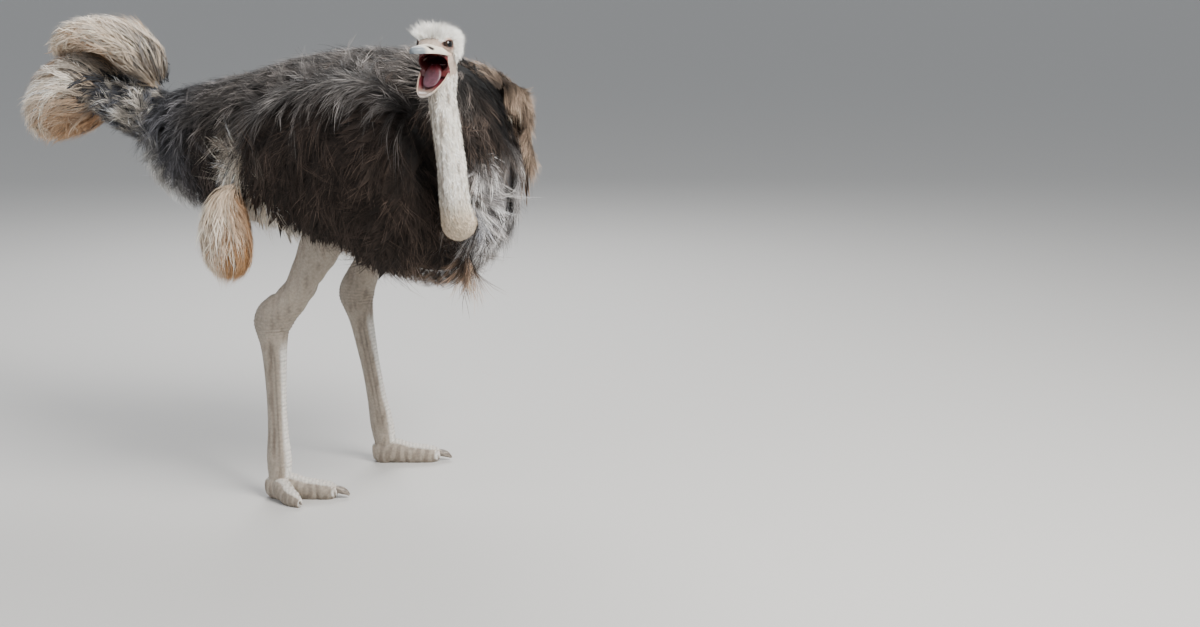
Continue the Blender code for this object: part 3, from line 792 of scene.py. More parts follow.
def neckMarkings(points):
    # Pale, with small dark streaks, and tan at its foot. The streaks crowd down the side away from the key
    # light, as painted shade.
    x, y, z = points.T
    # Painted shade: more dark streaks on the side turned away from the light.
    shaded = fade(0.51 - x - 0.45 * (y + 0.28), -0.015, 0.035)
    specksAndShade = fade(waves(points * (1, 1, 0.22), 0.012, 23) + 1.3 * shaded, 0.3, 1.3)
    base = mixed(allOf(shades["neck"], points), shades["neckDark"], 0.75 * specksAndShade)
    base = mixed(base, shades["neckTan"], 0.8 * fade(-z, -0.98, -0.88))
    return base, np.minimum(base * 1.35, 0.9)


def crownMarkings(points):
    return allOf(shades["crown"] * 0.88, points), allOf(shades["crown"], points)


# Feathers. A template is one feather in its own axes: a along it, w across it and h off it, in
# lengths of the feather. Ribbons that end in points make its shaft and its barbs.


def ribbon(path, widths):
    run = np.gradient(path, axis=0)
    side = unit(np.stack([-run[:, 1], run[:, 0], 0 * run[:, 0]], axis=1)) * widths[:, None]
    pairs = np.stack([path - side, path + side], axis=1)
    points = np.concatenate([pairs[:-1].reshape(-1, 3), path[-1:]])
    last = 2 * (len(path) - 2)
    faces = []
    for k in range(0, last, 2):
        faces += [(k, k + 2, k + 1), (k + 1, k + 2, k + 3)]
    return points, faces + [(last, last + 2, last + 1)]


def barbedFeather(look, seed):
    # A shaft and barbs that leave it at even steps, to one side and the other in turn.
    rng = np.random.default_rng(seed)
    reach = np.linspace(0, look["shaft"], 4)
    shaft = np.stack([reach, 0 * reach, 0 * reach], axis=1)
    strips = [(*ribbon(shaft, look["thin"] * np.array([1.3, 1.0, 0.7, 0.0])), 1.2)]
    q = np.linspace(0, 1, 3)
    for k in range(look["barbs"]):
        side = 1 if k % 2 else -1
        start = look["first"] + (look["last"] - look["first"]) * (k + rng.uniform(0, 1)) / look["barbs"]
        long = look["long"] * rng.uniform(0.7, 1.2) * (1 - 0.35 * abs(start - 0.45))
        turn = math.radians(look["angle"]) * rng.uniform(0.6, 1.3) * (1 - look["sweep"] * q)
        along, across = start + long * q * np.cos(turn), side * long * q * np.sin(turn)
        path = np.stack([along, across, long * q * rng.uniform(-0.25, 0.35)], axis=1)
        strips.append((*ribbon(path, look["thin"] * np.array([1.0, 0.8, 0.0])), rng.uniform(0.75, 1.25)))
    return joined([(points, faces, np.full(len(points), tone)) for points, faces, tone in strips])


def vaneFeather(look, seed):
    # A broad soft vane of half width w(a) = wide sin(pi a^0.7)^0.8, cupped down at both edges.
    rng = np.random.default_rng(seed)
    a = np.linspace(0.02, 1.0, 7)
    half = look["wide"] * np.sin(pi * np.clip(a, 0, 0.985) ** 0.7) ** 0.8
    curl = look["bend"] * rng.normal() * a**2
    rows = []
    for share in (-1.0, 0.0, 1.0):
        ragged = 1 + look["ragged"] * rng.normal(size=len(a)) * abs(share)
        across = half * share * ragged + curl
        rows.append(np.stack([a - 0.06 * abs(share), across, -look["cup"] * abs(share) + 0 * a], axis=1))
    quads = gridFaces(len(a), 3, False)
    faces = np.concatenate([quads[:, [0, 1, 2]], quads[:, [0, 2, 3]]])
    # The vane is brighter at both edges than down its middle: the feathers' paler edges, and a painted
    # highlight along them.
    return np.stack(rows, axis=1).reshape(-1, 3), faces, np.tile([look["edge"], 0.75, look["edge"]], len(a))


# Barbs to a feather, their length, their angle in degrees, the half width of all its ribbons, how
# much the barbs sweep forward, the first and last share of the feather that they leave from, and the
# length of the shaft.
featherWords = ("barbs", "long", "angle", "thin", "sweep", "first", "last", "shaft")
featherLooks = {
    "soft": (12, 0.42, 32, 0.0064, 0.5, 0.10, 0.82, 0.8),
    "lax": (12, 0.55, 20, 0.0054, 0.7, 0.02, 0.70, 0.8),
    "plume": (13, 0.50, 40, 0.0055, 0.6, 0.05, 0.85, 0.8),
    "strand": (11, 0.45, 13, 0.0046, 0.9, 0, 0.7, 0.9),
    "hair": (3, 0.8, 12, 0.011, 0.4, 0, 0.2, 1),
    "down": (4, 0.7, 20, 0.022, 0.4, 0, 0.3, 0.9),
}
vaneLook = {"wide": 0.15, "cup": 0.03, "bend": 0.05, "ragged": 0.12, "edge": 1.35}
shapes = {"vane": [vaneFeather(vaneLook, 900 + n) for n in range(6)]}
for word, values in featherLooks.items():
    look = dict(zip(featherWords, values))
    shapes[word] = [barbedFeather(look, 100 + n) for n in range(7)]
shapes["body"] = shapes["soft"] + shapes["lax"]


coatSizes = {
    "density": 1.0,
    "drawsEach": 9,
    # The share of feathers whose tips get a painted glint.
    "paintedGlintShare": 0.3,
    "strayDeg": 22.0,
    "followShare": 0.72,
    "softEdge": 0.03,
    "floorGap": 0.002,
    "bakePatch": 0.003,
    "bakeMargin": 0.004,
}


def rootsOn(surface, count, seed, keep, box, middle):
    # Even random roots by area: u, v, place, outward normal and the direction of growing u.
    draw = np.random.default_rng(seed).uniform(size=(count * coatSizes["drawsEach"], 3))
    u = box[0] + (box[1] - box[0]) * draw[:, 0]
    v = box[2] + (box[3] - box[2]) * draw[:, 1]
    step = 1e-3
    where = surface(u, v)
    alongU = (surface(u + step, v) - surface(u - step, v)) / (2 * step)
    alongV = (surface(u, v + step) - surface(u, v - step)) / (2 * step)
    normal = np.cross(alongU, alongV)
    area = np.linalg.norm(normal, axis=1)
    good = draw[:, 2] < area / np.percentile(area, 98)
    centre = where[good].mean(0) if middle is None else np.array(middle)
    facing = np.sign(np.sum(unit(normal[good]) * unit(where[good] - centre)))
    if keep is not None:
        good &= keep(where)
    chosen = np.flatnonzero(good)[:count]
    return u[chosen], v[chosen], where[chosen], unit(normal[chosen]) * facing, unit(alongU[chosen])


def growFeathers(look, roots, normal, flow, base, tip, room, seed):
    # Each feather places its template as root + L (a d + a^2 b + w s + h n): d leaves the skin at
    # the rise angle, b bends it back and down, s is across and n off the skin.
    rng = np.random.default_rng(seed)
    count = len(roots)
    along = unit(flow - np.sum(flow * normal, axis=1, keepdims=True) * normal)
    across = np.cross(normal, along)
    turn = np.radians(look["swirl"]) * waves(roots, look.get("swirlScale", 0.16), seed + 1)
    turn = turn + np.radians(look.get("scatter", 9)) * rng.normal(size=count)
    along = along * np.cos(turn)[:, None] + across * np.sin(turn)[:, None]
    across = np.cross(normal, along)
    vary = look.get("vary", 0.25)
    long = look["length"] * rng.uniform(1 - vary, 1 + vary, count)
    long = np.minimum(long, room * rng.uniform(0.75, 1.1, count))
    # A share of the feathers get brighter tips: painted glints that stand for sunlit highlights on their
    # barbs.
    glint = 1 + look.get("silver", 0.0) * (rng.uniform(size=count) < coatSizes["paintedGlintShare"])
    tip = tip * glint[:, None]
    loft = look.get("loft", 1.0) * rng.uniform(0.75, 1.25, count)
    stray = rng.uniform(size=count) < look.get("strays", 0.04)
    rise = np.radians(look["rise"]) * rng.uniform(0.5, 1.5, count)
    rise = rise + stray * math.radians(coatSizes["strayDeg"])
    leave = along * np.cos(rise)[:, None] + normal * np.sin(rise)[:, None]
    lock = look.get("lock", 0.18) * waves(roots, look.get("lockScale", 0.045), seed + 2)
    sideways = lock + look.get("curl", 0.12) * rng.normal(size=count)
    bend = across * sideways[:, None] - normal * (np.sin(rise) * look.get("lay", 0.8))[:, None]
    bend = bend - np.array([0, 0, 1.0]) * (look.get("droop", 0.1) * rng.uniform(0.5, 1.5, count))[:, None]
    roll = rng.normal(0, look.get("roll", 0.35), count)
    flat = across * np.cos(roll)[:, None] + normal * np.sin(roll)[:, None]
    tint = look.get("tint", 0.18)
    bright = 1 + look.get("mottle", 0.22) * waves(roots, look.get("mottleScale", 0.07), seed + 3)
    bright = bright * rng.uniform(1 - tint, 1 + tint, count)
    kinds = shapes[look["shape"]]
    pick = rng.integers(0, len(kinds), count)
    parts = []
    for k, (template, triangles, light) in enumerate(kinds):
        j = np.flatnonzero(pick == k)
        a, w, h = (template[None, :, c, None] for c in range(3))
        body = a * leave[j, None] + a**2 * bend[j, None] + w * flat[j, None] + h * normal[j, None]
        body = long[j, None, None] * body
        height = np.maximum(np.sum(body * normal[j, None], axis=2), 0)
        kept = loft[j, None] * np.tanh(height / loft[j, None])
        body = body + (kept - height)[..., None] * normal[j, None]
        size = len(template)
        faces = triangles[None] + (np.arange(len(j)) * size)[:, None, None]
        share = np.clip(template[:, 0], 0, 1) ** look.get("tipPower", 1.5)
        shade = base[j, None] + (tip[j] - base[j])[:, None] * share[None, :, None]
        shade = shade * bright[j, None, None] * light[None, :, None]
        points, faces, shade = (part.reshape(-1, 3) for part in (roots[j, None] + body, faces, shade))
        parts.append((points, faces, shade, np.repeat(j, size), np.tile(template[:, :2], (len(j), 1))))
    return joined(parts)


def hugged(points, margin):
    # A point at height l off the trunk comes to margin tanh(l / margin), so that no tip strays.
    x, y, z = points.T
    middle, high, wide = (np.interp(x, trunkTable[:, 0], trunkTable[:, k]) for k in (2, 3, 4))
    power = trunkSizes["power"]
    reach = ((np.abs(y) / wide) ** power + (np.abs(z - middle) / high) ** power) ** (1 / power)
    away = np.maximum(np.hypot(y, z - middle), 1e-4)
    lift = away * (1 - 1 / np.maximum(reach, 1e-3))
    kept = np.where(lift > 0, margin * np.tanh(lift / margin), lift)
    share = (away - lift + kept) / away
    return np.stack([x, y * share, middle + (z - middle) * share], axis=1)


def frameAt(surface, u, v):
    step = 2e-3
    along = unit(surface(u + step, v) - surface(u - step, v))
    around = unit(surface(u, v + step) - surface(u, v - step))
    return along, around, unit(np.cross(along, around))


def followed(points, root, surface, u, v, length):
    # A feather's run along and round the bent path moves it over the surface, at its own height.
    along, around, outward = (part[root] for part in frameAt(surface, u, v))
    step = 2e-3
    girth = np.linalg.norm(surface(u, v + step) - surface(u, v - step), axis=1) / (2 * step)
    offset = points - surface(u, v)[root]
    further = u[root] + np.sum(offset * along, axis=1) / length
    aside = np.sum(offset * around, axis=1) / np.maximum(girth[root], 0.12)
    at, turn = np.clip(further, 0.004, 0.985), v[root] + np.clip(aside, -0.2, 0.2)
    newAlong, newOutward = frameAt(surface, at, turn)[::2]
    moved = surface(at, turn) + (length * (further - at))[:, None] * newAlong
    return moved + np.sum(offset * outward, axis=1)[:, None] * newOutward


def coat(look, surface, flow, markings, seed, keep=None, box=(0, 1, 0, 1), middle=None, tile=(0, 0, 1)):
    # One patch of feathers, and its OFBake places: each feather in a small patch of its own, at its
    # root's (u, v) in the tile of the unwrap that this surface has.
    count = int(look["count"] * coatSizes["density"])
    u, v, where, normal, alongU = rootsOn(surface, count, seed, keep, box, middle)
    base, tip = markings(where)
    room = (1 - u) * look.get("reach", 100) + look.get("over", 0.015)
    if look.get("longest"):
        room = look["longest"](where)
    grown = growFeathers(look, where, normal, flow(where, alongU), base, tip, room, seed)
    points, faces, colours, root, local = grown
    if "follow" in look:
        over = followed(points, root, surface, u, v, look["follow"])
        points = mixed(points, over, np.full(len(points), coatSizes["followShare"]))
    if "widest" in look:
        soft = coatSizes["softEdge"]
        beyond = np.maximum(points[:, 1] - look["widest"], 0) / soft
        points[:, 1] = np.minimum(points[:, 1], look["widest"]) + soft * np.tanh(beyond)
    if "hug" in look:
        points = hugged(points, look["hug"])
    patch = np.stack([np.clip(local[:, 1] + 0.5, 0, 1), np.clip(local[:, 0], 0, 1)], axis=1)
    spread = np.stack([u[root], v[root]], axis=1) * (tile[2] - coatSizes["bakeMargin"])
    return points, faces, colours, np.array(tile[:2]) + spread + patch * coatSizes["bakePatch"]


def coatPiece(name, parts, slot, roughness, *nodes):
    points, faces, colours, places = joined(parts)
    points[:, 2] = np.maximum(points[:, 2], coatSizes["floorGap"])
    mesh = bpy.data.meshes.new(name)
    mesh.vertices.add(len(points))
    mesh.vertices.foreach_set("co", points.ravel())
    mesh.loops.add(faces.size)
    mesh.loops.foreach_set("vertex_index", faces.ravel().astype(np.int32))
    mesh.polygons.add(len(faces))
    mesh.polygons.foreach_set("loop_start", np.arange(0, faces.size, 3, dtype=np.int32))
    mesh.update(calc_edges=True)
    layer = mesh.uv_layers.new(name="OFBake")
    layer.data.foreach_set("uv", places[faces.ravel()].ravel())
    paint(mesh, colours, roughness)
    print(name, len(faces), "triangles")
    return finishPiece(inScene(name, mesh), slot, feathers, *nodes)


# The skin: one closed surface from the tail to the toes, with its hollows for the mouth and eyes.

skinSizes = {
    "bodyDepth": 0.032,
    "wingDepth": 0.026,
    "neckDepth": 0.005,
    "bodyVoxel": 0.019,
    "headVoxel": 0.0016,
    "footVoxel": 0.0024,
    "lidClearance": 0.0022,
}


def bodySkin():
    depth = skinSizes["bodyDepth"]
    shells = [shellOf(gridOf(trunkSurface(-depth), 40, 48))]
    shells += [shellOf(wingRings(which, skinSizes["wingDepth"], 22, 16)) for which in bothSides]
    stump = tubeSurface(tailBaseTable, (0, 1, 0), -depth)
    shells.append(shellOf(gridOf(stump, 14, 20)[:12]))
    return melted("skin", shells, skinSizes["bodyVoxel"], 4)


def narrowing(depth, low, high, way=1):
    # How a tube grows for its skin: in by the depth, and by 4 mm more past low..high of its length,
    # or before them if the way is -1.
    return lambda u: -depth - 0.004 * fade(way * u, low, high)


def neckSkin():
    rows, sides, kept = 136, 48, 122
    tube = tubeSurface(neckTable, (1, 0, 0), narrowing(skinSizes["neckDepth"], 0.82, 0.94))
    return pieceOf("neckSkin", [shellOf(gridOf(tube, rows, sides)[:kept])])


def throat():
    # The top of the neck, a little thicker than the tube that runs up into it.
    rows, sides, first = 120, 48, 96
    tube = tubeSurface(neckTable, (1, 0, 0), narrowing(skinSizes["neckDepth"], -0.90, -0.80, -1))
    return shellOf(gridOf(tube, rows, sides)[first:])


def headSkin():
    w, depth = headSizes["halfWidth"], headSizes["skinDepth"]
    skull = (
        (-0.078, -0.002, 0.012, 0.012, 0.014),
        (-0.066, -0.003, 0.030, 0.028, 0.032),
        (-0.038, -0.002, w * 0.96, 0.038, 0.040),
        (0.000, -0.002, w * 1.04, 0.040, 0.034),
        (0.028, -0.004, w * 0.88, 0.028, 0.022),
        (0.046, -0.006, w * 0.66, 0.016, 0.014),
        (0.056, -0.008, w * 0.40, 0.008, 0.008),
    )
    jawRoot = (
        (-0.055, -0.036, 0.018, 0.014, 0.012),
        (-0.035, -0.038, 0.036, 0.024, 0.020),
        (-0.005, -0.041, 0.045, 0.018, 0.020),
        (0.024, -0.044, 0.043, 0.008, 0.014),
        (0.038, -0.046, 0.036, 0.004, 0.008),
    )
    cheeks = (
        (-0.046, -0.032, 0.022, 0.010, 0.010),
        (-0.020, -0.032, 0.044, 0.026, 0.026),
        (0.002, -0.032, 0.0465, 0.034, 0.032),
        (0.014, -0.032, 0.0455, 0.032, 0.030),
        (0.020, -0.032, 0.040, 0.020, 0.018),
    )
    shells = [
        shellOf(fromHead(flatRings(skull, 40, 48, -depth))),
        shellOf(fromHead(dropped(flatRings(jawRoot, 26, 40, -depth)))),
        shellOf(fromHead(dropped(flatRings(cheeks, 26, 40, -depth), 0.5))),
        throat(),
    ]
    piece = melted("headSkin", shells, skinSizes["headVoxel"], 8)
    movePoints(piece.data, wrappedEyes(pointsOf(piece.data)))
    combined(piece, mouthHollow(), "DIFFERENCE")
    for side in sideSigns:
        combined(piece, eyeSocket(side), "DIFFERENCE")
        combined(piece, lidOpening(side), "DIFFERENCE")
    return piece


def mouthHollow():
    keys = (
        (-0.040, -0.032, 0.012, 0.005, 0.006),
        (-0.020, -0.032, 0.032, 0.010, 0.013),
        (0.006, -0.032, 0.0405, 0.019, 0.021),
        (0.024, -0.032, 0.044, 0.029, 0.028),
        (0.060, -0.032, 0.048, 0.046, 0.044),
        (0.090, -0.032, 0.052, 0.062, 0.060),
    )
    return pieceOf("mouthHollow", [shellOf(fromHead(dropped(flatRings(keys, 20, 36), 0.5)))])


# The eyes. Each looks out along its own axis, and everything about it is in turns round that axis
# (v) and degrees away from it.

eyeSizes = {
    "forward": 0.36,
    "up": 0.06,
    "pupil": 24.0,
    "iris": 40.0,
    "openAcross": 66.0,
    "openUp": 26.0,
    "openDown": 31.0,
}


def eyeFrame(side):
    # Rows: out along the axis, forward across it, and up across it, in head axes.
    out = unit(np.array([eyeSizes["forward"], side, eyeSizes["up"]]))
    ahead = unit(np.array([1.0, 0.0, 0.0]) - out[0] * out)
    return np.stack([out, ahead, np.cross(out, ahead) * side])


def aroundEye(side, degrees, v, radius):
    # A point at an angle from the eye's axis, v of a turn round it, and a distance from its centre.
    out, ahead, up = eyeFrame(side)
    t, turn = np.radians(degrees), 2 * pi * v
    spread = np.cos(turn)[..., None] * ahead + np.sin(turn)[..., None] * up
    local = np.cos(t)[..., None] * out + np.sin(t)[..., None] * spread
    return eyeCentre(side) + np.asarray(radius)[..., None] * local


def lidAngle(v):
    # The almond opening: wide fore and aft, pointed a little at the corners.
    turn = 2 * pi * v
    high = np.where(np.sin(turn) > 0, eyeSizes["openUp"], eyeSizes["openDown"])
    power = 1.8
    reach = np.abs(np.cos(turn) / eyeSizes["openAcross"]) ** power + np.abs(np.sin(turn) / high) ** power
    return reach ** (-1 / power)


def eyeBearing(points, side):
    # How far each point is from the eye's centre, in what direction, and how far off its axis.
    local = toHead(points) - eyeCentre(side)
    distance = np.linalg.norm(local, axis=1)
    out, ahead, up = eyeFrame(side)
    direction = local / distance[:, None]
    degrees = np.degrees(np.arccos(np.clip(direction @ out, -1, 1)))
    return distance, direction, degrees, np.arctan2(direction @ up, direction @ ahead) / (2 * pi)


def wrappedEyes(points):
    # The skin near each eye is drawn in to hug the ball, with soft folds round the opening.
    for side in sideSigns:
        distance, direction, degrees, turn = eyeBearing(points, side)
        beyond = degrees - lidAngle(turn)
        folds = 0.0006 * np.sin(beyond * 0.55) * fade(-beyond, -26, -18) * fade(beyond, 1, 5)
        hug = headSizes["eyeRadius"] + skinSizes["lidClearance"] + folds
        excess = np.maximum(distance - hug - 0.03 * fade(degrees, 62, 92), 0)
        pulled = distance - excess * fade(-degrees, -92, -80) * fade(-distance, -0.046, -0.034)
        lifted = np.maximum(pulled, hug - 0.006 * fade(degrees, 66, 84))
        outer = (degrees < 84) & (pulled > 0.012)
        points = fromHead(eyeCentre(side) + direction * np.where(outer, lifted, pulled)[:, None])
    return points


def eyeSocket(side):
    degrees, v = crossed(np.linspace(2, 178, 40), turns(56))
    ball = aroundEye(side, degrees, v, np.full(degrees.shape, headSizes["eyeRadius"] + 0.0004))
    return pieceOf("socket", [shellOf(fromHead(ball))])


def lidOpening(side):
    # A horn that widens outwards from the middle of the eye to the edge of the lids.
    reach, v = crossed(np.linspace(0.002, 0.034, 12), turns(72))
    return pieceOf("opening", [shellOf(fromHead(aroundEye(side, lidAngle(v), v, reach)))])


legSizes = {"depth": 0.001, "shinPlate": 0.0125, "toePlate": 0.0105}


def legSkin(side):
    # The leg down to the ankle: soft muscle above the hock, wrinkles on it, and plates down the
    # front of the shin.
    rows, sides, kept = 276, 44, 269
    tube = tubeSurface(legTables[side], (1, 0, 0), narrowing(legSizes["depth"], 0.93, 0.97))
    points = gridOf(tube, rows, sides)
    centres = legTables[side](np.linspace(0, 1, rows))[:, None, :3]
    outward = unit(points - centres)
    relief = legRelief(points, outward)[..., None]
    return pieceOf("legSkin", [shellOf((points + outward * relief)[:kept])])


def legRelief(points, outward):
    ahead, across = outward[..., 0], outward[..., 1]
    z = points[..., 2]
    front = fade(ahead, 0.35, 0.8)
    shin = fade(-z, -0.47, -0.43)
    plates = 0.0017 * np.abs(np.sin(pi * z / legSizes["shinPlate"])) ** 0.4 * front * shin
    wrinkles = 0.0015 * hockWrinkles(z, across) * bell(z, 0.53, 0.045)
    cords = 0.0026 * waves(points.reshape(-1, 3) * (1, 1, 0.10), 0.045, 41).reshape(z.shape)
    cords = cords * (0.25 + 0.75 * fade(z, 0.56, 0.62))
    slimmer = -0.009 * bell(z, 0.70, 0.07)
    tendon = -0.0022 * onTendon(ahead) * shin * fade(z, 0.10, 0.15)
    heel = 0.004 * bell(ahead, -0.9, 0.25) * fade(z, 0.50, 0.54) * fade(-z, -0.66, -0.58)
    return plates + wrinkles + cords + slimmer + tendon + heel


def hockWrinkles(z, across):
    return np.sin(z * 620 + 1.5 * np.sin(across * 4))


def onTendon(ahead):
    # The groove down each side of the shin, by how far its skin faces ahead.
    return bell(ahead, 0.30, 0.16)


def ankle(side):
    rows, sides, first = 120, 40, 108
    tube = tubeSurface(legTables[side], (1, 0, 0), narrowing(legSizes["depth"], -0.95, -0.91, -1))
    return shellOf(gridOf(tube, rows, sides)[first:])


def footSkin(side):
    shells = [ankle(side), shellOf(toeRings(side, mainToe, 40, 36))]
    shells.append(shellOf(toeRings(side, outerToe, 26, 28)))
    piece = melted("footSkin", shells, skinSizes["footVoxel"], 6)
    movePoints(piece.data, settledFoot(side, pointsOf(piece.data), normalsOf(piece.data)))
    return piece


def toeCourse(side, points):
    # How far ahead along the main toe's heading, for the plates across the toes.
    a = toeHeadings[side]
    offset = points[:, :2] - legTables[side](1.0)[:2]
    return offset @ np.array([math.cos(a), math.sin(a)]) + 0.15 * points[:, 2]


def settledFoot(side, points, normals):
    # Plates across the top of each toe, pads with grooves below, and a flat sole.
    ahead = toeCourse(side, points)
    upward = fade(normals[:, 2], 0.45, 0.8)
    plates = 0.0021 * np.abs(np.sin(pi * ahead / legSizes["toePlate"])) ** 0.4 * upward
    pads = -0.0018 * bell(np.mod(ahead + 0.012, 0.052), 0.026, 0.005)
    pads = pads * fade(-points[:, 2], -0.035, -0.01) * fade(-upward, -0.3, 0.0)
    moved = points + normals * (plates + pads)[:, None]
    low = (moved[:, 2] < 0.0035) & (normals[:, 2] < -0.3)
    moved[:, 2] = np.where(low, 0.0, np.maximum(moved[:, 2], 0.0))
    return moved


def nearestOn(table, points, count=90):
    # The distance to the nearest of points spread along a path, its radius there and its share.
    rows = table(np.linspace(0, 1, count))
    gaps = np.linalg.norm(points[:, None, :] - rows[None, :, :3], axis=2)
    nearest = gaps.argmin(axis=1)
    return gaps[np.arange(len(points)), nearest], rows[nearest, 3], nearest / (count - 1)


def skinTones(points, normals):
    # The plumage's root colours under the coat, darkened to 0.6 as painted shade under the feathers, bare
    # legs, and the neck's colours, with their painted shade, under its down.
    x, y, z = points.T
    colours = 0.6 * bodyMarkings(points)[0]
    roughness = np.full(len(points), 0.95)
    for side in sideSigns:
        gap, radius, _ = nearestOn(legTables[side], points)
        onLeg = fade(1.35 * radius - gap, 0.0, 0.010) * fade(-z, -0.87, -0.83)
        onLeg = np.maximum(onLeg, fade(-z, -0.60, -0.58))
        dirt = 0.5 * fade(waves(points * (1, 1, 0.18), 0.020, 43) + 0.9 * fade(-z, -0.12, -0.02), 0.2, 1.5)
        skin = mixed(allOf(shades["leg"], points), shades["legDark"], dirt)
        # Painted shade down the tendon groove, stronger on her left leg, and the brown pad at the rear of the
        # hock.
        groove = onTendon(normals[:, 0]) * fade(-z, -0.50, -0.46) * fade(z, 0.10, 0.15)
        heel = fade(-normals[:, 0], 0.45, 0.80) * fade(z, 0.44, 0.47) * fade(-z, -0.56, -0.52)
        skin = mixed(skin, shades["legDark"] * 0.7, np.maximum((0.35 + 0.2 * side) * groove, 0.8 * heel))
        front = fade(normals[:, 0], 0.72, 0.92) * fade(-z, -0.50, -0.44)
        top = fade(normals[:, 2], 0.5, 0.9) * fade(-z, -0.12, -0.08)
        skin = mixed(skin, shades["legPale"], np.maximum(0.8 * front, 0.5 * top))
        # Painted shade in the creases between the plates and in the wrinkles of the hock.
        toeRun = toeCourse(side, points) / legSizes["toePlate"]
        creases = np.where(z > 0.09, z / legSizes["shinPlate"], toeRun)
        creases = (1 - np.abs(np.sin(pi * creases)) ** 0.4) * np.maximum(front, top)
        hock = bell(z, 0.55, 0.045) * (0.5 + 0.5 * hockWrinkles(z, normals[:, 1]))
        skin = skin * (1 - 0.45 * creases - 0.16 * hock)[:, None]
        colours = mixed(colours, skin, onLeg)
        roughness = roughness + (0.55 - roughness) * onLeg
    gap, radius, share = nearestOn(neckTable, points)
    onNeck = fade(radius * 1.3 - gap, 0.0, 0.012) * fade(share, 0.10, 0.22)
    onNeck = np.maximum(onNeck, fade(z, 1.20, 1.24) * (y < -0.2) * (x > 0.4))
    colours = mixed(colours, neckMarkings(points)[0] * 0.8, onNeck)
    return faceTones(points, colours, roughness)


def faceTones(points, colours, roughness):
    local = toHead(points)
    f, s, u = local.T
    onHead = fade(0.115 - np.linalg.norm(local, axis=1), 0.0, 0.02) * fade(f, -0.085, -0.06)
    onHead = onHead * fade(u, -0.085, -0.070)
    colours = mixed(colours, shades["face"], onHead)
    for side in sideSigns:
        distance, _, degrees, turn = eyeBearing(points, side)
        ring = fade(-(degrees - lidAngle(turn)), -34, -6) * fade(0.03 - distance, 0.0, 0.004)
        colours = mixed(colours, shades["eyeRing"], 0.75 * ring)
        # The ear openings painted dark, as the shade inside them.
        ear = np.exp(-(((f + 0.036) / 0.006) ** 2) - ((u + 0.012) / 0.008) ** 2) * (np.abs(s) > 0.02)
        colours = mixed(colours, [0.06, 0.03, 0.025], np.clip(1.2 * ear, 0, 1))
    halfF, halfS, halfU = dropped(local, -0.5).T
    along = (-0.040, -0.020, 0.006, 0.024, 0.060, 0.090)
    high = np.interp(halfF, along, (0.007, 0.014, 0.021, 0.030, 0.047, 0.063))
    wide = np.interp(halfF, along, (0.013, 0.033, 0.0412, 0.0445, 0.0485, 0.0525))
    lining = (halfF > -0.042) & (halfF < 0.085) & (np.abs(halfU + 0.032) < high + 0.001)
    lining &= np.abs(halfS) < wide + 0.0006
    jawF, jawS, jawU = dropped(local, -1.0).T
    lining |= (jawF > 0.004) & (np.abs(jawS) < 0.0385) & (jawU > -0.052) & (jawU < -0.030)
    # The mouth's red flesh, painted darker towards the back, near black, as the shade deep in the mouth.
    flesh = mixed(allOf(shades["lining"], points), shades["gape"], fade(halfF, -0.02, 0.02))
    colours = np.where(lining[:, None], flesh, colours)
    return colours, np.where(lining, 0.25, roughness + (0.6 - roughness) * onHead)


def makeSkin():
    skin = bodySkin()
    print("body skin", len(skin.data.polygons))
    head = headSkin()
    print("head skin", len(head.data.polygons))
    combined(head, neckSkin(), "UNION")
    combined(skin, head, "UNION")
    for side in sideSigns:
        leg = legSkin(side)
        combined(leg, footSkin(side), "UNION")
        combined(skin, leg, "UNION")
    paint(skin.data, *skinTones(pointsOf(skin.data), normalsOf(skin.data)))
    flesh = ["trunk", "tail_base", "wing_left", "wing_right"]
    flesh += ["neck_base", "neck_middle", "neck_upper", "head"]
    for word in bothSides:
        flesh += [f"leg_{word}_{part}" for part in ("shank", "hock", "shin", "toe_main", "toe_outer")]
    print("skin", len(skin.data.polygons), "faces")
    return finishPiece(skin, "leg_skin", bareSkin, *flesh)


makeSkin()
print("skin made")


# The bill. Each half is one closed shell whose rings run along it, domed outside and hollow inside.


def billRings(keys, rows, sides, hollow, upper):
    # Key: forward, middle, half width, above and below. Round a ring, the outside is half a squashed
    # circle and the inside runs from lip to lip, up into the hollow between them.
    row = smoothRows([(f, 0.0, middle, *rest) for f, middle, *rest in keys], rows, crowdEnds)
    turn = turns(sides, 2 * pi)[None, :]
    c, s = squashedCircle(turn, 2.3)
    f, middle, wide, above, below = (row[:, k : k + 1] for k in (0, 2, 3, 4, 5))
    outer, rim = (above, below) if upper else (below, above)
    sign = 1.0 if upper else -1.0
    across = np.abs(np.sin(turn))
    lip = 1 - (1 - np.clip(across / 0.3, 0, 1)) ** 2
    cup = hollow * fade(across, 0.25, 0.9) * fade(row[-1, 0] - f, 0.012, 0.045) * fade(f, -0.01, 0.01)
    outside = middle + sign * outer * np.abs(s)
    inside = middle - sign * (rim * lip - np.minimum(cup, 0.86 * outer + rim))
    isOutside = np.sin(turn) * sign >= 0
    u = np.where(isOutside, outside, inside)
    return np.stack([f + 0 * c, wide * c, u], axis=-1), isOutside


def nostrils(f, u):
    return np.exp(-(((f - 0.075) / 0.0085) ** 2) - ((u + 0.0095) / 0.0058) ** 2)


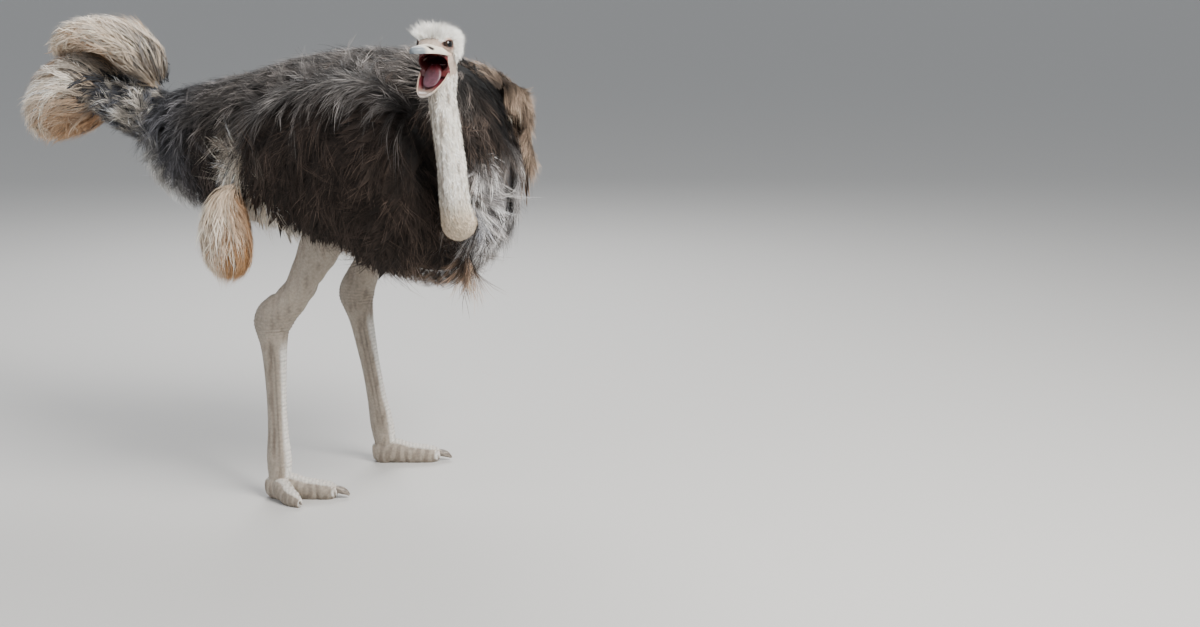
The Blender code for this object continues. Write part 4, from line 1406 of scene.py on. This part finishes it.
def makeUpperBill():
    keys = (
        (-0.004, -0.022, 0.044, 0.020, 0.004),
        (0.022, -0.020, 0.043, 0.022, 0.004),
        (0.050, -0.019, 0.038, 0.021, 0.004),
        (0.080, -0.020, 0.031, 0.017, 0.004),
        (0.104, -0.021, 0.022, 0.012, 0.005),
        (0.120, -0.022, 0.011, 0.007, 0.006),
        (0.125, -0.024, 0.004, 0.003, 0.004),
    )
    rings, outside = billRings(keys, 90, 88, 0.015, True)
    f, s, u = np.moveaxis(rings, -1, 0)
    ridge = bell(s, 0.0, 0.007) * fade(f, 0.01, 0.04)
    groove = bell(np.abs(s), 0.0235, 0.002) * fade(-f, -0.095, -0.08)
    relief = 0.0012 * ridge - 0.0045 * nostrils(f, u) + 0.0006 * fade(f, 0.098, 0.101) - 0.0007 * groove
    rings[..., 2] += relief * outside
    piece = pieceOf("billUpper", [shellOf(fromHead(rings))])
    f, s, u = toHead(pointsOf(piece.data)).T
    colours = mixed(allOf([0.66, 0.60, 0.50], f), [0.55, 0.40, 0.32], fade(-f, -0.03, 0.0))
    colours = mixed(colours, [0.11, 0.14, 0.17], 0.9 * fade(f, 0.090, 0.106))
    # The nostrils painted near black, as the shade inside the openings.
    colours = mixed(colours, [0.012, 0.008, 0.008], np.clip(3.0 * nostrils(f, u) - 0.7, 0, 1))
    wide = np.interp(f, (0.0, 0.05, 0.08, 0.104, 0.12), (0.044, 0.038, 0.031, 0.022, 0.011))
    palate = (normalsOf(piece.data) @ headFrame[2] < 0.1) & (np.abs(s) < 0.88 * wide) & (f < 0.112)
    flesh = mixed(allOf([0.22, 0.06, 0.035], f), [0.46, 0.24, 0.17], fade(f, 0.05, 0.11))
    palate = np.maximum(palate, fade(-f, -0.010, -0.002) * (u < -0.016) * (np.abs(s) < 0.034))
    paint(piece.data, mixed(colours, flesh, palate), 0.38 - 0.13 * palate)
    finishPiece(piece, "bill_horn", billHorn, "bill_upper")


def makeLowerBill():
    keys = (
        (-0.004, -0.044, 0.041, 0.003, 0.010),
        (0.028, -0.044, 0.043, 0.003, 0.011),
        (0.058, -0.044, 0.038, 0.003, 0.010),
        (0.083, -0.042, 0.030, 0.003, 0.009),
        (0.103, -0.040, 0.021, 0.003, 0.007),
        (0.115, -0.038, 0.011, 0.003, 0.004),
        (0.120, -0.037, 0.004, 0.002, 0.002),
    )
    rings = billRings(keys, 80, 80, 0.011, False)[0]
    piece = pieceOf("billLower", [shellOf(fromHead(dropped(rings)))])
    f, s, u = dropped(toHead(pointsOf(piece.data)), -1.0).T
    wide = np.interp(f, (0.0, 0.05, 0.083, 0.103, 0.115), (0.042, 0.039, 0.030, 0.021, 0.011))
    colours = mixed(allOf([0.50, 0.39, 0.30], f), [0.36, 0.34, 0.33], 0.7 * fade(f, 0.092, 0.108))
    raised = dropped(toHead(pointsOf(piece.data) + 0.001 * normalsOf(piece.data)), -1.0)[:, 2]
    bed = fade(0.97 * wide - np.abs(s), 0.0, 0.002) * (raised > u - 0.0002) * fade(0.117 - f, 0.0, 0.004)
    bed = np.maximum(bed, fade(-f, -0.036, -0.024))
    flesh = mixed(allOf([0.13, 0.022, 0.030], f), [0.22, 0.17, 0.14], fade(f, 0.060, 0.100))
    paint(piece.data, mixed(colours, flesh, bed), 0.40 - 0.15 * bed)
    finishPiece(piece, "bill_horn", billHorn, "bill_lower")


def makeTongue():
    keys = (
        (0.004, -0.041, 0.014, 0.008, 0.004),
        (0.020, -0.041, 0.021, 0.012, 0.004),
        (0.042, -0.043, 0.024, 0.007, 0.004),
        (0.062, -0.044, 0.020, 0.004, 0.003),
        (0.074, -0.044, 0.012, 0.003, 0.002),
        (0.078, -0.044, 0.004, 0.002, 0.001),
    )
    rings = flatRings(keys, 40, 40)
    rings[..., 2] -= 0.0022 * bell(rings[..., 1], 0.0, 0.004) * (rings[..., 2] > -0.038)
    piece = pieceOf("tongueFlesh", [shellOf(fromHead(dropped(rings)))])
    f = dropped(toHead(pointsOf(piece.data)), -1.0)[:, 0]
    colours = mixed(allOf([0.070, 0.006, 0.010], f), [0.095, 0.040, 0.054], fade(f, 0.018, 0.050))
    paint(piece.data, colours, 0.5)
    finishPiece(piece, "tongue_flesh", wetFlesh, "tongue")


def makeEye(word, side):
    # A ball with a low cornea over the iris. Iris and pupil are bands of angle from the axis.
    degrees, v = crossed(np.linspace(1.5, 178, 90), turns(96))
    radius = headSizes["eyeRadius"] - 0.0008 + 0.0010 * fade(-degrees, -44, -20)
    piece = pieceOf("eye" + word.title(), [shellOf(fromHead(aroundEye(side, degrees, v, radius)))])
    _, _, degrees, turn = eyeBearing(pointsOf(piece.data), side)
    rays = 0.5 + 0.5 * np.sin(turn * 2 * pi * 46 + 2.0 * np.sin(turn * 2 * pi * 9))
    iris = mixed(allOf([0.016, 0.009, 0.006], turn), [0.060, 0.032, 0.018], rays * fade(degrees, 24, 34))
    pupil = fade(-degrees, -eyeSizes["pupil"] - 1, -eyeSizes["pupil"] + 1)
    colours = mixed(iris, [0.004, 0.004, 0.005], pupil)
    colours = mixed(colours, [0.020, 0.012, 0.010], fade(degrees, eyeSizes["iris"] - 3, eyeSizes["iris"]))
    colours = mixed(colours, [0.20, 0.12, 0.10], fade(degrees, 52, 62))
    paint(piece.data, colours, 0.15)
    finishPiece(piece, "eye_brown", eyeGlass, "eye_" + word)


def makeLids():
    # The thick dark rims of the lids.
    shells = []
    v, q = crossed(turns(120), turns(12, 2 * pi))
    for side in sideSigns:
        thick = 0.0013 + 0.0005 * np.sin(2 * pi * v) ** 2
        degrees = lidAngle(v) + 1.0 + np.degrees(thick / headSizes["eyeRadius"]) * np.cos(q)
        radius = headSizes["eyeRadius"] + 0.0011 + thick * np.sin(q)
        shells.append(loopShell(fromHead(aroundEye(side, degrees, v, radius))))
    piece = pieceOf("eyelids", shells)
    paint(piece.data, allOf([0.135, 0.080, 0.065], piece.data.vertices), 0.45)
    finishPiece(piece, "neck_down", bareSkin)


makeUpperBill()
makeLowerBill()
makeTongue()
for word, side in bothSides.items():
    makeEye(word, side)
makeLids()
print("head made")


def makeClaws():
    for word, side in bothSides.items():
        shells = [shellOf(toeRings(side, mainClaw, 30, 24)), shellOf(toeRings(side, outerNail, 16, 16))]
        piece = pieceOf("claws" + word.title(), shells)
        points = pointsOf(piece.data)
        worn = fade(waves(points * (1, 1, 3), 0.02, 47), -0.3, 0.6)
        colours = mixed(allOf([0.150, 0.125, 0.105], points), [0.33, 0.28, 0.23], worn)
        paint(piece.data, colours, 0.42)
        finishPiece(piece, "claw_horn", billHorn, f"leg_{word}_claw")


makeClaws()


# The coat, patch by patch. Each dictionary holds what a patch of feathers can change: how many,
# their length in metres, how steeply they rise and how far they swirl, in degrees, and so on.

backLook = {
    "count": 4450,
    "shape": "body",
    "length": 0.105,
    "rise": 26,
    "swirl": 18,
    "droop": 0.06,
    "strays": 0.05,
    "scatter": 14,
    "lock": 0.3,
    "mottle": 0.5,
    "mottleScale": 0.04,
    "tint": 0.35,
    "tipPower": 2.0,
    "silver": 2.6,
    "loft": 0.050,
}
sideLook = dict(backLook, count=2600, length=0.095, swirl=48, swirlScale=0.12, scatter=24, lock=0.5)
sideLook.update(droop=0.2, curl=0.45, loft=0.040, hug=0.038)
underLook = dict(sideLook, count=2800, length=0.080, loft=0.034, hug=0.024)
bodyMiddle = (0.0, 0.0, 1.02)


def shorterLow(where):
    # The longest feather: short over the thighs and in the hollow under the far wing.
    x, _, z = where.T
    overThigh = fade(-z, -0.96, -0.84) * fade(-x, -0.26, -0.20)
    longest = 0.16 - 0.115 * overThigh
    return np.where(underFarWing(where) > 0.3, 0.06, longest)


for look in (backLook, sideLook, underLook):
    look["longest"] = shorterLow


def bodyFlow(where, alongU):
    # Back along the spine, and down the sides and the breast.
    down = fade(1.27 - where[:, 2], 0.0, 0.25)
    front = fade(where[:, 0], 0.32, 0.50)
    return np.stack([-1.0 + 0.95 * front, 0 * down, -0.12 - 1.1 * down - 1.4 * front], axis=1)


def clearOfLimbs(where):
    # Bare where the neck and the thighs leave the body.
    keep = nearestOn(neckTable, where, 60)[0] > 0.045
    for side in sideSigns:
        thigh = nearestOn(legTables[side], where, 60)[0]
        keep &= (thigh > 0.075) | (where[:, 2] > 0.89)
    return keep


def trunkPatch(look, seed, low, high):
    surface, box = trunkSurface(-0.024), (0, 1, low, high)
    return coat(look, surface, bodyFlow, bodyMarkings, seed, clearOfLimbs, box, bodyMiddle)


halfBack = dict(backLook, count=backLook["count"] // 2)
backParts = [trunkPatch(halfBack, 101, 0.0, 0.15), trunkPatch(halfBack, 102, 0.85, 1.0)]
coatPiece("coatBack", backParts, "body_plumage", 0.60)
coatPiece("coatFlankRight", [trunkPatch(sideLook, 103, 0.15, 0.35)], "body_plumage", 0.60)
coatPiece("coatFlankLeft", [trunkPatch(sideLook, 104, 0.65, 0.85)], "body_plumage", 0.60)
coatPiece("coatUnder", [trunkPatch(underLook, 105, 0.35, 0.65)], "body_plumage", 0.64)

fluffLook = dict(underLook, count=420, shape="plume", length=0.055, rise=30, loft=0.03, silver=0.0)
fluffLook.update(longest=None)
tuftLook = dict(underLook, count=60, length=0.085, rise=6, swirl=6, lock=0.05, hug=1.0, longest=None)
footLook = dict(underLook, count=700, length=0.070, rise=20, loft=0.016, hug=1.0, longest=None)
rightward = np.array([0.906, 0.423, 0.0])


def betweenThighs(where):
    return np.hypot(where[:, 0] - 0.06, 0.9 * where[:, 1]) < 0.20


def paleMarkings(points):
    return rootAndTip("cream", points)


def tuftMarkings(points):
    # Dark at the root, and paler and browner than the skirt at the tip.
    return allOf(shades["flank"] * 2, points), allOf(shades["skirtTip"] * 2.4, points)


def footMarkings(points):
    base, tip = rootAndTip("rump", points)
    streaks = fade(waves(points * (1, 1, 0.2), 0.05, 7), -0.6, 0.1)
    return toned((base * 2, tip * 2), "breast", streaks)


def besideNeck(where):
    # On the right-hand side of the foot of the neck.
    centre = neckTable(np.linspace(0, 0.34, 60))[:, :3]
    nearest = np.linalg.norm(where[:, None] - centre[None], axis=2).argmin(axis=1)
    return (where - centre[nearest]) @ rightward > -0.002


def straightDown(where, alongU):
    return allOf([-0.15, 0.1, -1.0], where)


tuftTable = tableOf(((0.470, -0.125, 0.775, 0.016, 0.016), (0.482, -0.120, 0.735, 0.012, 0.012)))
bellySkin, bellyBox = trunkSurface(-0.020), (0.3, 0.8, 0.38, 0.62)
belly = coat(fluffLook, bellySkin, bodyFlow, paleMarkings, 121, betweenThighs, bellyBox, bodyMiddle)
hanging = coat(tuftLook, tubeSurface(tuftTable, (1, 0, 0)), straightDown, tuftMarkings, 122)
neckFoot = tubeSurface(neckTable, (1, 0, 0), -0.008)
skirt = coat(footLook, neckFoot, straightDown, footMarkings, 123, besideNeck, (0.04, 0.33, 0, 1))
coatPiece("coatFluff", [belly, hanging, skirt], "body_plumage", 0.64)
print("body coat made")

wingLook = dict(sideLook, count=2900, length=0.105, rise=22, droop=0.25, loft=0.036, hug=0.075, silver=1.6)
vaneLayer = dict(wingLook, count=1300, shape="vane", length=0.120, rise=7, tipPower=1.2, tint=0.3, strays=0.0)
vaneLayer.update(scatter=9, swirl=22, curl=0.08, lock=0.12, roll=0.12, silver=0.2, loft=0.016)
leftOuterLook = dict(wingLook, count=2100, length=0.090, rise=14, swirl=34, scatter=14, strays=0.03)
leftOuterLook.update(widest=0.440, curl=0.25, lock=0.25, loft=0.014, hug=1.0)
leftVaneLook = dict(vaneLayer, widest=0.435, count=900, length=0.10, loft=0.012, hug=1.0)
leftInnerLook = dict(leftOuterLook, count=700, length=0.07)
leftRimLook = dict(leftOuterLook, count=1000, length=0.060, rise=30, swirl=50, strays=0.1, silver=1.8)
covertLook = dict(wingLook, count=420, length=0.130, rise=12, swirl=14, silver=0.8, loft=0.026)
covertLook.update(droop=0.12)
wispLook = {"count": 70, "shape": "plume", "length": 0.11, "rise": 12, "swirl": 20, "droop": 0.25}
wispLook.update(vary=0.3, curl=0.2, loft=0.03, hug=0.06)


def wingFlow(where, alongU):
    down = fade(1.22 - where[:, 2], 0.0, 0.30)
    return np.stack([-1.0 + 0.15 * down, 0 * down, -0.25 - 1.2 * down], axis=1)


def rimFlow(where, alongU):
    return allOf([0.3, 0.4, -0.7], where)


def leftWingRim(u, v):
    # Across the front edge of the far wing, from its inner face to its outer one.
    d = 0.2 + 0.78 * v
    near, far = (wingSurface("left", face, 0.0)(0 * u + 0.04, d) for face in ("in", "out"))
    return mixed(near, far, 0.15 + 0.7 * u)


def makeWings():
    inner, edge, point = (0.02, 0.98, 0.03, 0.97), (0.05, 0.80, 0.01, 0.07), (0.84, 0.98, 0.10, 0.85)
    layers = (
        (vaneLayer, -0.018, darkVanes, 210, inner),
        (wingLook, -0.022, rightWingMarkings, 211, inner),
        (covertLook, -0.006, covertMarkings, 212, edge),
        (wispLook, -0.014, paleMarkings, 213, point),
    )
    parts = []
    for look, lift, markings, seed, box in layers:
        surface = wingSurface("right", "out", lift)
        parts.append(coat(look, surface, wingFlow, markings, seed, None, box, bodyMiddle))
    coatPiece("coatWingRight", parts, "wing_plumage", 0.55)
    outside, inside = wingSurface("left", "out", -0.026), wingSurface("left", "in", 0.012)
    hollow, whole = (0.02, 0.6, 0.3, 0.97), (0, 1, 0, 1)
    layers = (
        (leftVaneLook, outside, wingFlow, 230, inner, bodyMiddle, (0, 0, 0.5)),
        (leftOuterLook, outside, wingFlow, 231, inner, bodyMiddle, (0, 0, 0.5)),
        (leftInnerLook, inside, wingFlow, 232, hollow, (0, 3, 1), (0.5, 0, 0.5)),
        (leftRimLook, leftWingRim, rimFlow, 233, whole, (0, 0.3, 1), (0, 0.5, 0.5)),
    )
    parts = []
    for look, surface, flow, seed, *rest in layers:
        parts.append(coat(look, surface, flow, farWingMarkings, seed, None, *rest))
    coatPiece("coatWingLeft", parts, "wing_plumage", 0.58)


makeWings()
print("wings made")

wingPlumeLook = {
    "count": 1550,
    "shape": "strand",
    "length": 0.150,
    "rise": 15,
    "swirl": 14,
    "droop": 0.03,
    "strays": 0.07,
    "scatter": 7,
    "vary": 0.35,
    "mottle": 0.12,
    "tint": 0.12,
    "reach": 0.30,
    "over": 0.004,
    "loft": 0.020,
    "curl": 0.10,
    "follow": 0.30,
}
tailUpperLook = dict(wingPlumeLook, count=2300, length=0.19, swirl=24, reach=0.46, over=0.012)
tailUpperLook.update(loft=0.038, follow=0.47, strays=0.12)
tailLowerLook = dict(wingPlumeLook, count=2600, length=0.18, swirl=28, reach=0.39, over=0.008)
tailLowerLook.update(loft=0.040, follow=0.39, strays=0.12)
stumpLook = dict(backLook, count=1500, length=0.090, rise=44, swirl=24, silver=1.8, loft=0.060, longest=None)


def alongPath(where, alongU):
    return alongU


# Painted shade on the forward part of the hanging wing plume.
def warmShadeWing(points):
    x, _, z = points.T
    return fade(x + 0.213 + 0.218 * (0.86 - z), -0.012, 0.016) * fade(-z, -0.97, -0.91) * fade(z, 0.69, 0.72)


def underside(table, points, low, high):
    # How far a point lies below the middle of a path that runs backwards.
    rows = table(np.linspace(1, 0, 60))
    below = np.interp(points[:, 0], rows[:, 0], rows[:, 2]) - points[:, 2]
    return fade(below, low, high)


# Painted shade on the underside of the upper tail plume.
def warmShadeUpper(points):
    return 0.9 * underside(tailUpperTable, points, -0.004, 0.018) * fade(-points[:, 0], 0.70, 0.76)


# Painted shade on the lower plume's underside and on its top, under the arch of the upper plume.
def warmShadeLower(points):
    shaded = 0.7 * fade(points[:, 2], 1.225, 1.25) * fade(-points[:, 0], 0.78, 0.84)
    return np.maximum(0.8 * underside(tailLowerTable, points, 0.00, 0.06), shaded)


def tailMarkings(warmShadeMask, start):
    # The plume's colours with their painted shade, and dark feathers with pale tips where it leaves the
    # stump.
    def markings(points):
        base, tip = plumeMarkings(warmShadeMask)(points)
        dark = fade(points[:, 0] + 0.02 * waves(points, 0.05, 29), -start - 0.05, -start + 0.03)
        dark = dark * np.maximum(fade(-points[:, 2], -1.23, -1.19), start < 0.8)
        streak = bell(points[:, 2], 1.205, 0.020) * fade(-points[:, 0], 0.84, 0.88) * (start > 0.8)
        base, tip = mixed(base, shades["creamTip"], streak), mixed(tip, shades["plumeWhite"], streak)
        darkBase, darkTip = tailBaseMarkings(points)
        return mixed(base, darkBase, dark), mixed(tip, darkTip, dark)

    return markings


def plumePiece(name, look, table, hint, grow, markings, seed, node):
    surface = tubeSurface(table, hint, grow)
    part = coat(look, surface, alongPath, markings, seed, None, (0, 0.92 if node else 0.80, 0, 1))
    nodes = [node] if node else []
    coatPiece(name, [part], "white_plumes" if node else "body_plumage", 0.6, *nodes)


for word, side in bothSides.items():
    table, marks = wingPlumeTable(side), plumeMarkings(warmShadeWing)
    name, node = "plumeWing" + word.title(), "wing_plume_" + word
    plumePiece(name, wingPlumeLook, table, (1, 0, 0), -0.022, marks, 300 + int(side), node)
across = (0, 1, 0)
marks = tailMarkings(warmShadeUpper, 0.69)
plumePiece("plumeTailUpper", tailUpperLook, tailUpperTable, across, -0.020, marks, 311, "tail_plume_upper")
marks = tailMarkings(warmShadeLower, 0.87)
plumePiece("plumeTailLower", tailLowerLook, tailLowerTable, across, -0.026, marks, 312, "tail_plume_lower")
plumePiece("coatTailBase", stumpLook, tailBaseTable, across, -0.022, tailBaseMarkings, 313, None)
print("plumes made")

neckLook = {
    "count": 8300,
    "shape": "down",
    "length": 0.013,
    "rise": 15,
    "swirl": 12,
    "droop": 0.0,
    "lock": 0.1,
    "mottle": 0.1,
    "scatter": 14,
}


def crownLength(where):
    # Longer on her right side, a little shorter on her left, and shortest low down.
    local = toHead(where)
    side = np.clip(local[:, 1] / 0.045, -1, 1)
    low = fade(-local[:, 2], -0.020, -0.004)
    right = fade(-side, 0.1, 0.7)
    return (0.038 + 0.012 * right - 0.002 * fade(side, 0.2, 0.9)) * (1 - (0.45 - 0.3 * right) * low)


crownLook = {
    "count": 2800,
    "shape": "hair",
    "length": 0.070,
    "rise": 54,
    "longest": crownLength,
    "swirl": 6,
    "droop": 0.02,
    "vary": 0.35,
    "scatter": 32,
    "lay": 0.25,
    "tint": 0.12,
    "mottle": 0.1,
}
cheekLook = dict(crownLook, count=2500, shape="down", length=0.025, rise=40, lay=0.6, longest=None)


def downNeck(where, alongU):
    return -alongU


def skullSurface(f, v):
    # The top and back of the skull: f from nape to brow, v from the left ear over to the right,
    # round half a squashed circle of the half width and height there.
    keys = np.array(
        (
            (-0.074, 0.018, 0.020),
            (-0.066, 0.030, 0.026),
            (-0.038, 0.044, 0.037),
            (0.000, 0.047, 0.039),
            (0.028, 0.040, 0.028),
            (0.040, 0.034, 0.020),
        )
    )
    forward = keys[0, 0] + (keys[-1, 0] - keys[0, 0]) * f
    wide, high = (np.interp(forward, keys[:, 0], keys[:, k]) for k in (1, 2))
    c, s = squashedCircle(np.radians(2 + 176 * v), 2.3)
    return fromHead(np.stack([forward, wide * c, -0.003 + high * s], axis=-1))


def crownFlow(where, alongU):
    # Up at the sides and outwards on top, so that the bristles stand round the skull.
    local = toHead(where)
    side = np.clip(local[:, 1] / 0.030, -1, 1)
    steep = np.abs(side) ** 2
    away = np.stack([-0.40 - 0.1 * steep, 0.9 * side * (1 - 0.5 * steep), 0.25 + 0.65 * steep], axis=1)
    return away @ headFrame


def cheekFlow(where, alongU):
    return allOf([-0.8, 0.0, -1.0], where) @ headFrame


def backOfHead(f, v):
    # All round the head, from the nape to the ears: a squashed circle at each place along it.
    forward = -0.076 + 0.080 * f
    wide, high = (np.interp(forward, (-0.076, -0.066, -0.038, 0.004), halves) for halves in cheekHalves)
    c, s = squashedCircle(2 * pi * v, 2.2)
    return fromHead(np.stack([forward, wide * c, -0.004 + high * s], axis=-1))


cheekHalves = ((0.014, 0.029, 0.043, 0.046), (0.014, 0.031, 0.040, 0.040))


def clearOfEyes(where):
    clear = np.ones(len(where), bool)
    for side in sideSigns:
        clear &= eyeBearing(where, side)[2] > 68
    return clear


def onCheeks(where):
    # Behind the corner of the mouth, and clear of the eyes.
    f, s, u = toHead(where).T
    besideMouth = (np.abs(s) > 0.0385) | (u > -0.004) | (f < -0.058)
    return clearOfEyes(where) & ((f < -0.020 - 0.9 * (u + 0.03)) | (u > -0.012)) & besideMouth


def clearOfMouth(where):
    f, s, _ = dropped(toHead(where), -0.5).T
    return (nearestOn(neckTable, where)[2] < 0.935) | (f < -0.052) | (np.abs(s) > 0.037)


neckTube = tubeSurface(neckTable, (1, 0, 0), -skinSizes["neckDepth"])
neckPart = coat(neckLook, neckTube, downNeck, neckMarkings, 401, clearOfMouth, (0.20, 0.985, 0, 1))
coatPiece("downNeck", [neckPart], "neck_down", 0.7)
crownPart = coat(crownLook, skullSurface, crownFlow, crownMarkings, 411, clearOfEyes)
cheekPart = coat(cheekLook, backOfHead, cheekFlow, crownMarkings, 413, onCheeks)
coatPiece("downCheeks", [cheekPart], "neck_down", 0.7)
coatPiece("bristlesCrown", [crownPart], "neck_down", 0.6, "crown")
print("neck and crown made")


# The studio: a plain pale floor, soft lights and the camera.


def makeFloor():
    r = 150.0
    mesh = bpy.data.meshes.new("floor")
    mesh.from_pydata([(-r, -r, 0), (r, -r, 0), (r, r, 0), (-r, r, 0)], [], [(0, 1, 2, 3)])
    material, tree = newMaterial("paleFloor")
    plain = {"Base Color": (0.52, 0.51, 0.495, 1), "Roughness": 0.85}
    setInputs(tree, tree.nodes["Principled BSDF"], plain)
    mesh.materials.append(material)
    inScene("floor", mesh)


lightSizes = {
    "key": ((3.9, -0.9, 4.2), 2.4, 520, (1.0, 0.98, 0.94)),
    "fill": ((-2.6, -4.2, 2.6), 3.5, 70, (0.95, 0.97, 1.0)),
    "back": ((-1.6, 3.2, 4.0), 2.6, 220, (1.0, 1.0, 1.0)),
}


def addLight(name, place, size, power, colour):
    lamp = bpy.data.lights.new(name, "AREA")
    lamp.size = size
    lamp.energy = power
    lamp.color = colour
    light = inScene(name, lamp)
    light.location = place
    aim = np.array([0.0, 0.0, 0.95]) - np.array(place)
    level = math.hypot(aim[0], aim[1])
    light.rotation_euler = (math.atan2(level, -aim[2]), 0, math.atan2(-aim[0], aim[1]))


cameraSizes = {"place": (2.7044, -4.0131, 1.58), "turnDeg": 25.0, "downDeg": 12.38, "lens": 48.3}


def addCamera():
    data = bpy.data.cameras.new("camera")
    data.lens = cameraSizes["lens"]
    data.sensor_width = 36.0
    camera = inScene("camera", data)
    camera.location = np.array(cameraSizes["place"]) + shift
    pitch, turn = math.radians(90 - cameraSizes["downDeg"]), math.radians(cameraSizes["turnDeg"])
    camera.rotation_euler = (pitch, 0, turn)
    bpy.context.scene.camera = camera


def addWorld():
    world = bpy.data.worlds.new("studio")
    world.use_nodes = True
    sky = world.node_tree.nodes["Background"]
    sky.inputs["Color"].default_value = (0.86, 0.90, 0.95, 1)
    sky.inputs["Strength"].default_value = 0.55
    bpy.context.scene.world = world


makeFloor()
for lightName, values in lightSizes.items():
    addLight(lightName, *values)
addCamera()
addWorld()
print("studio made")
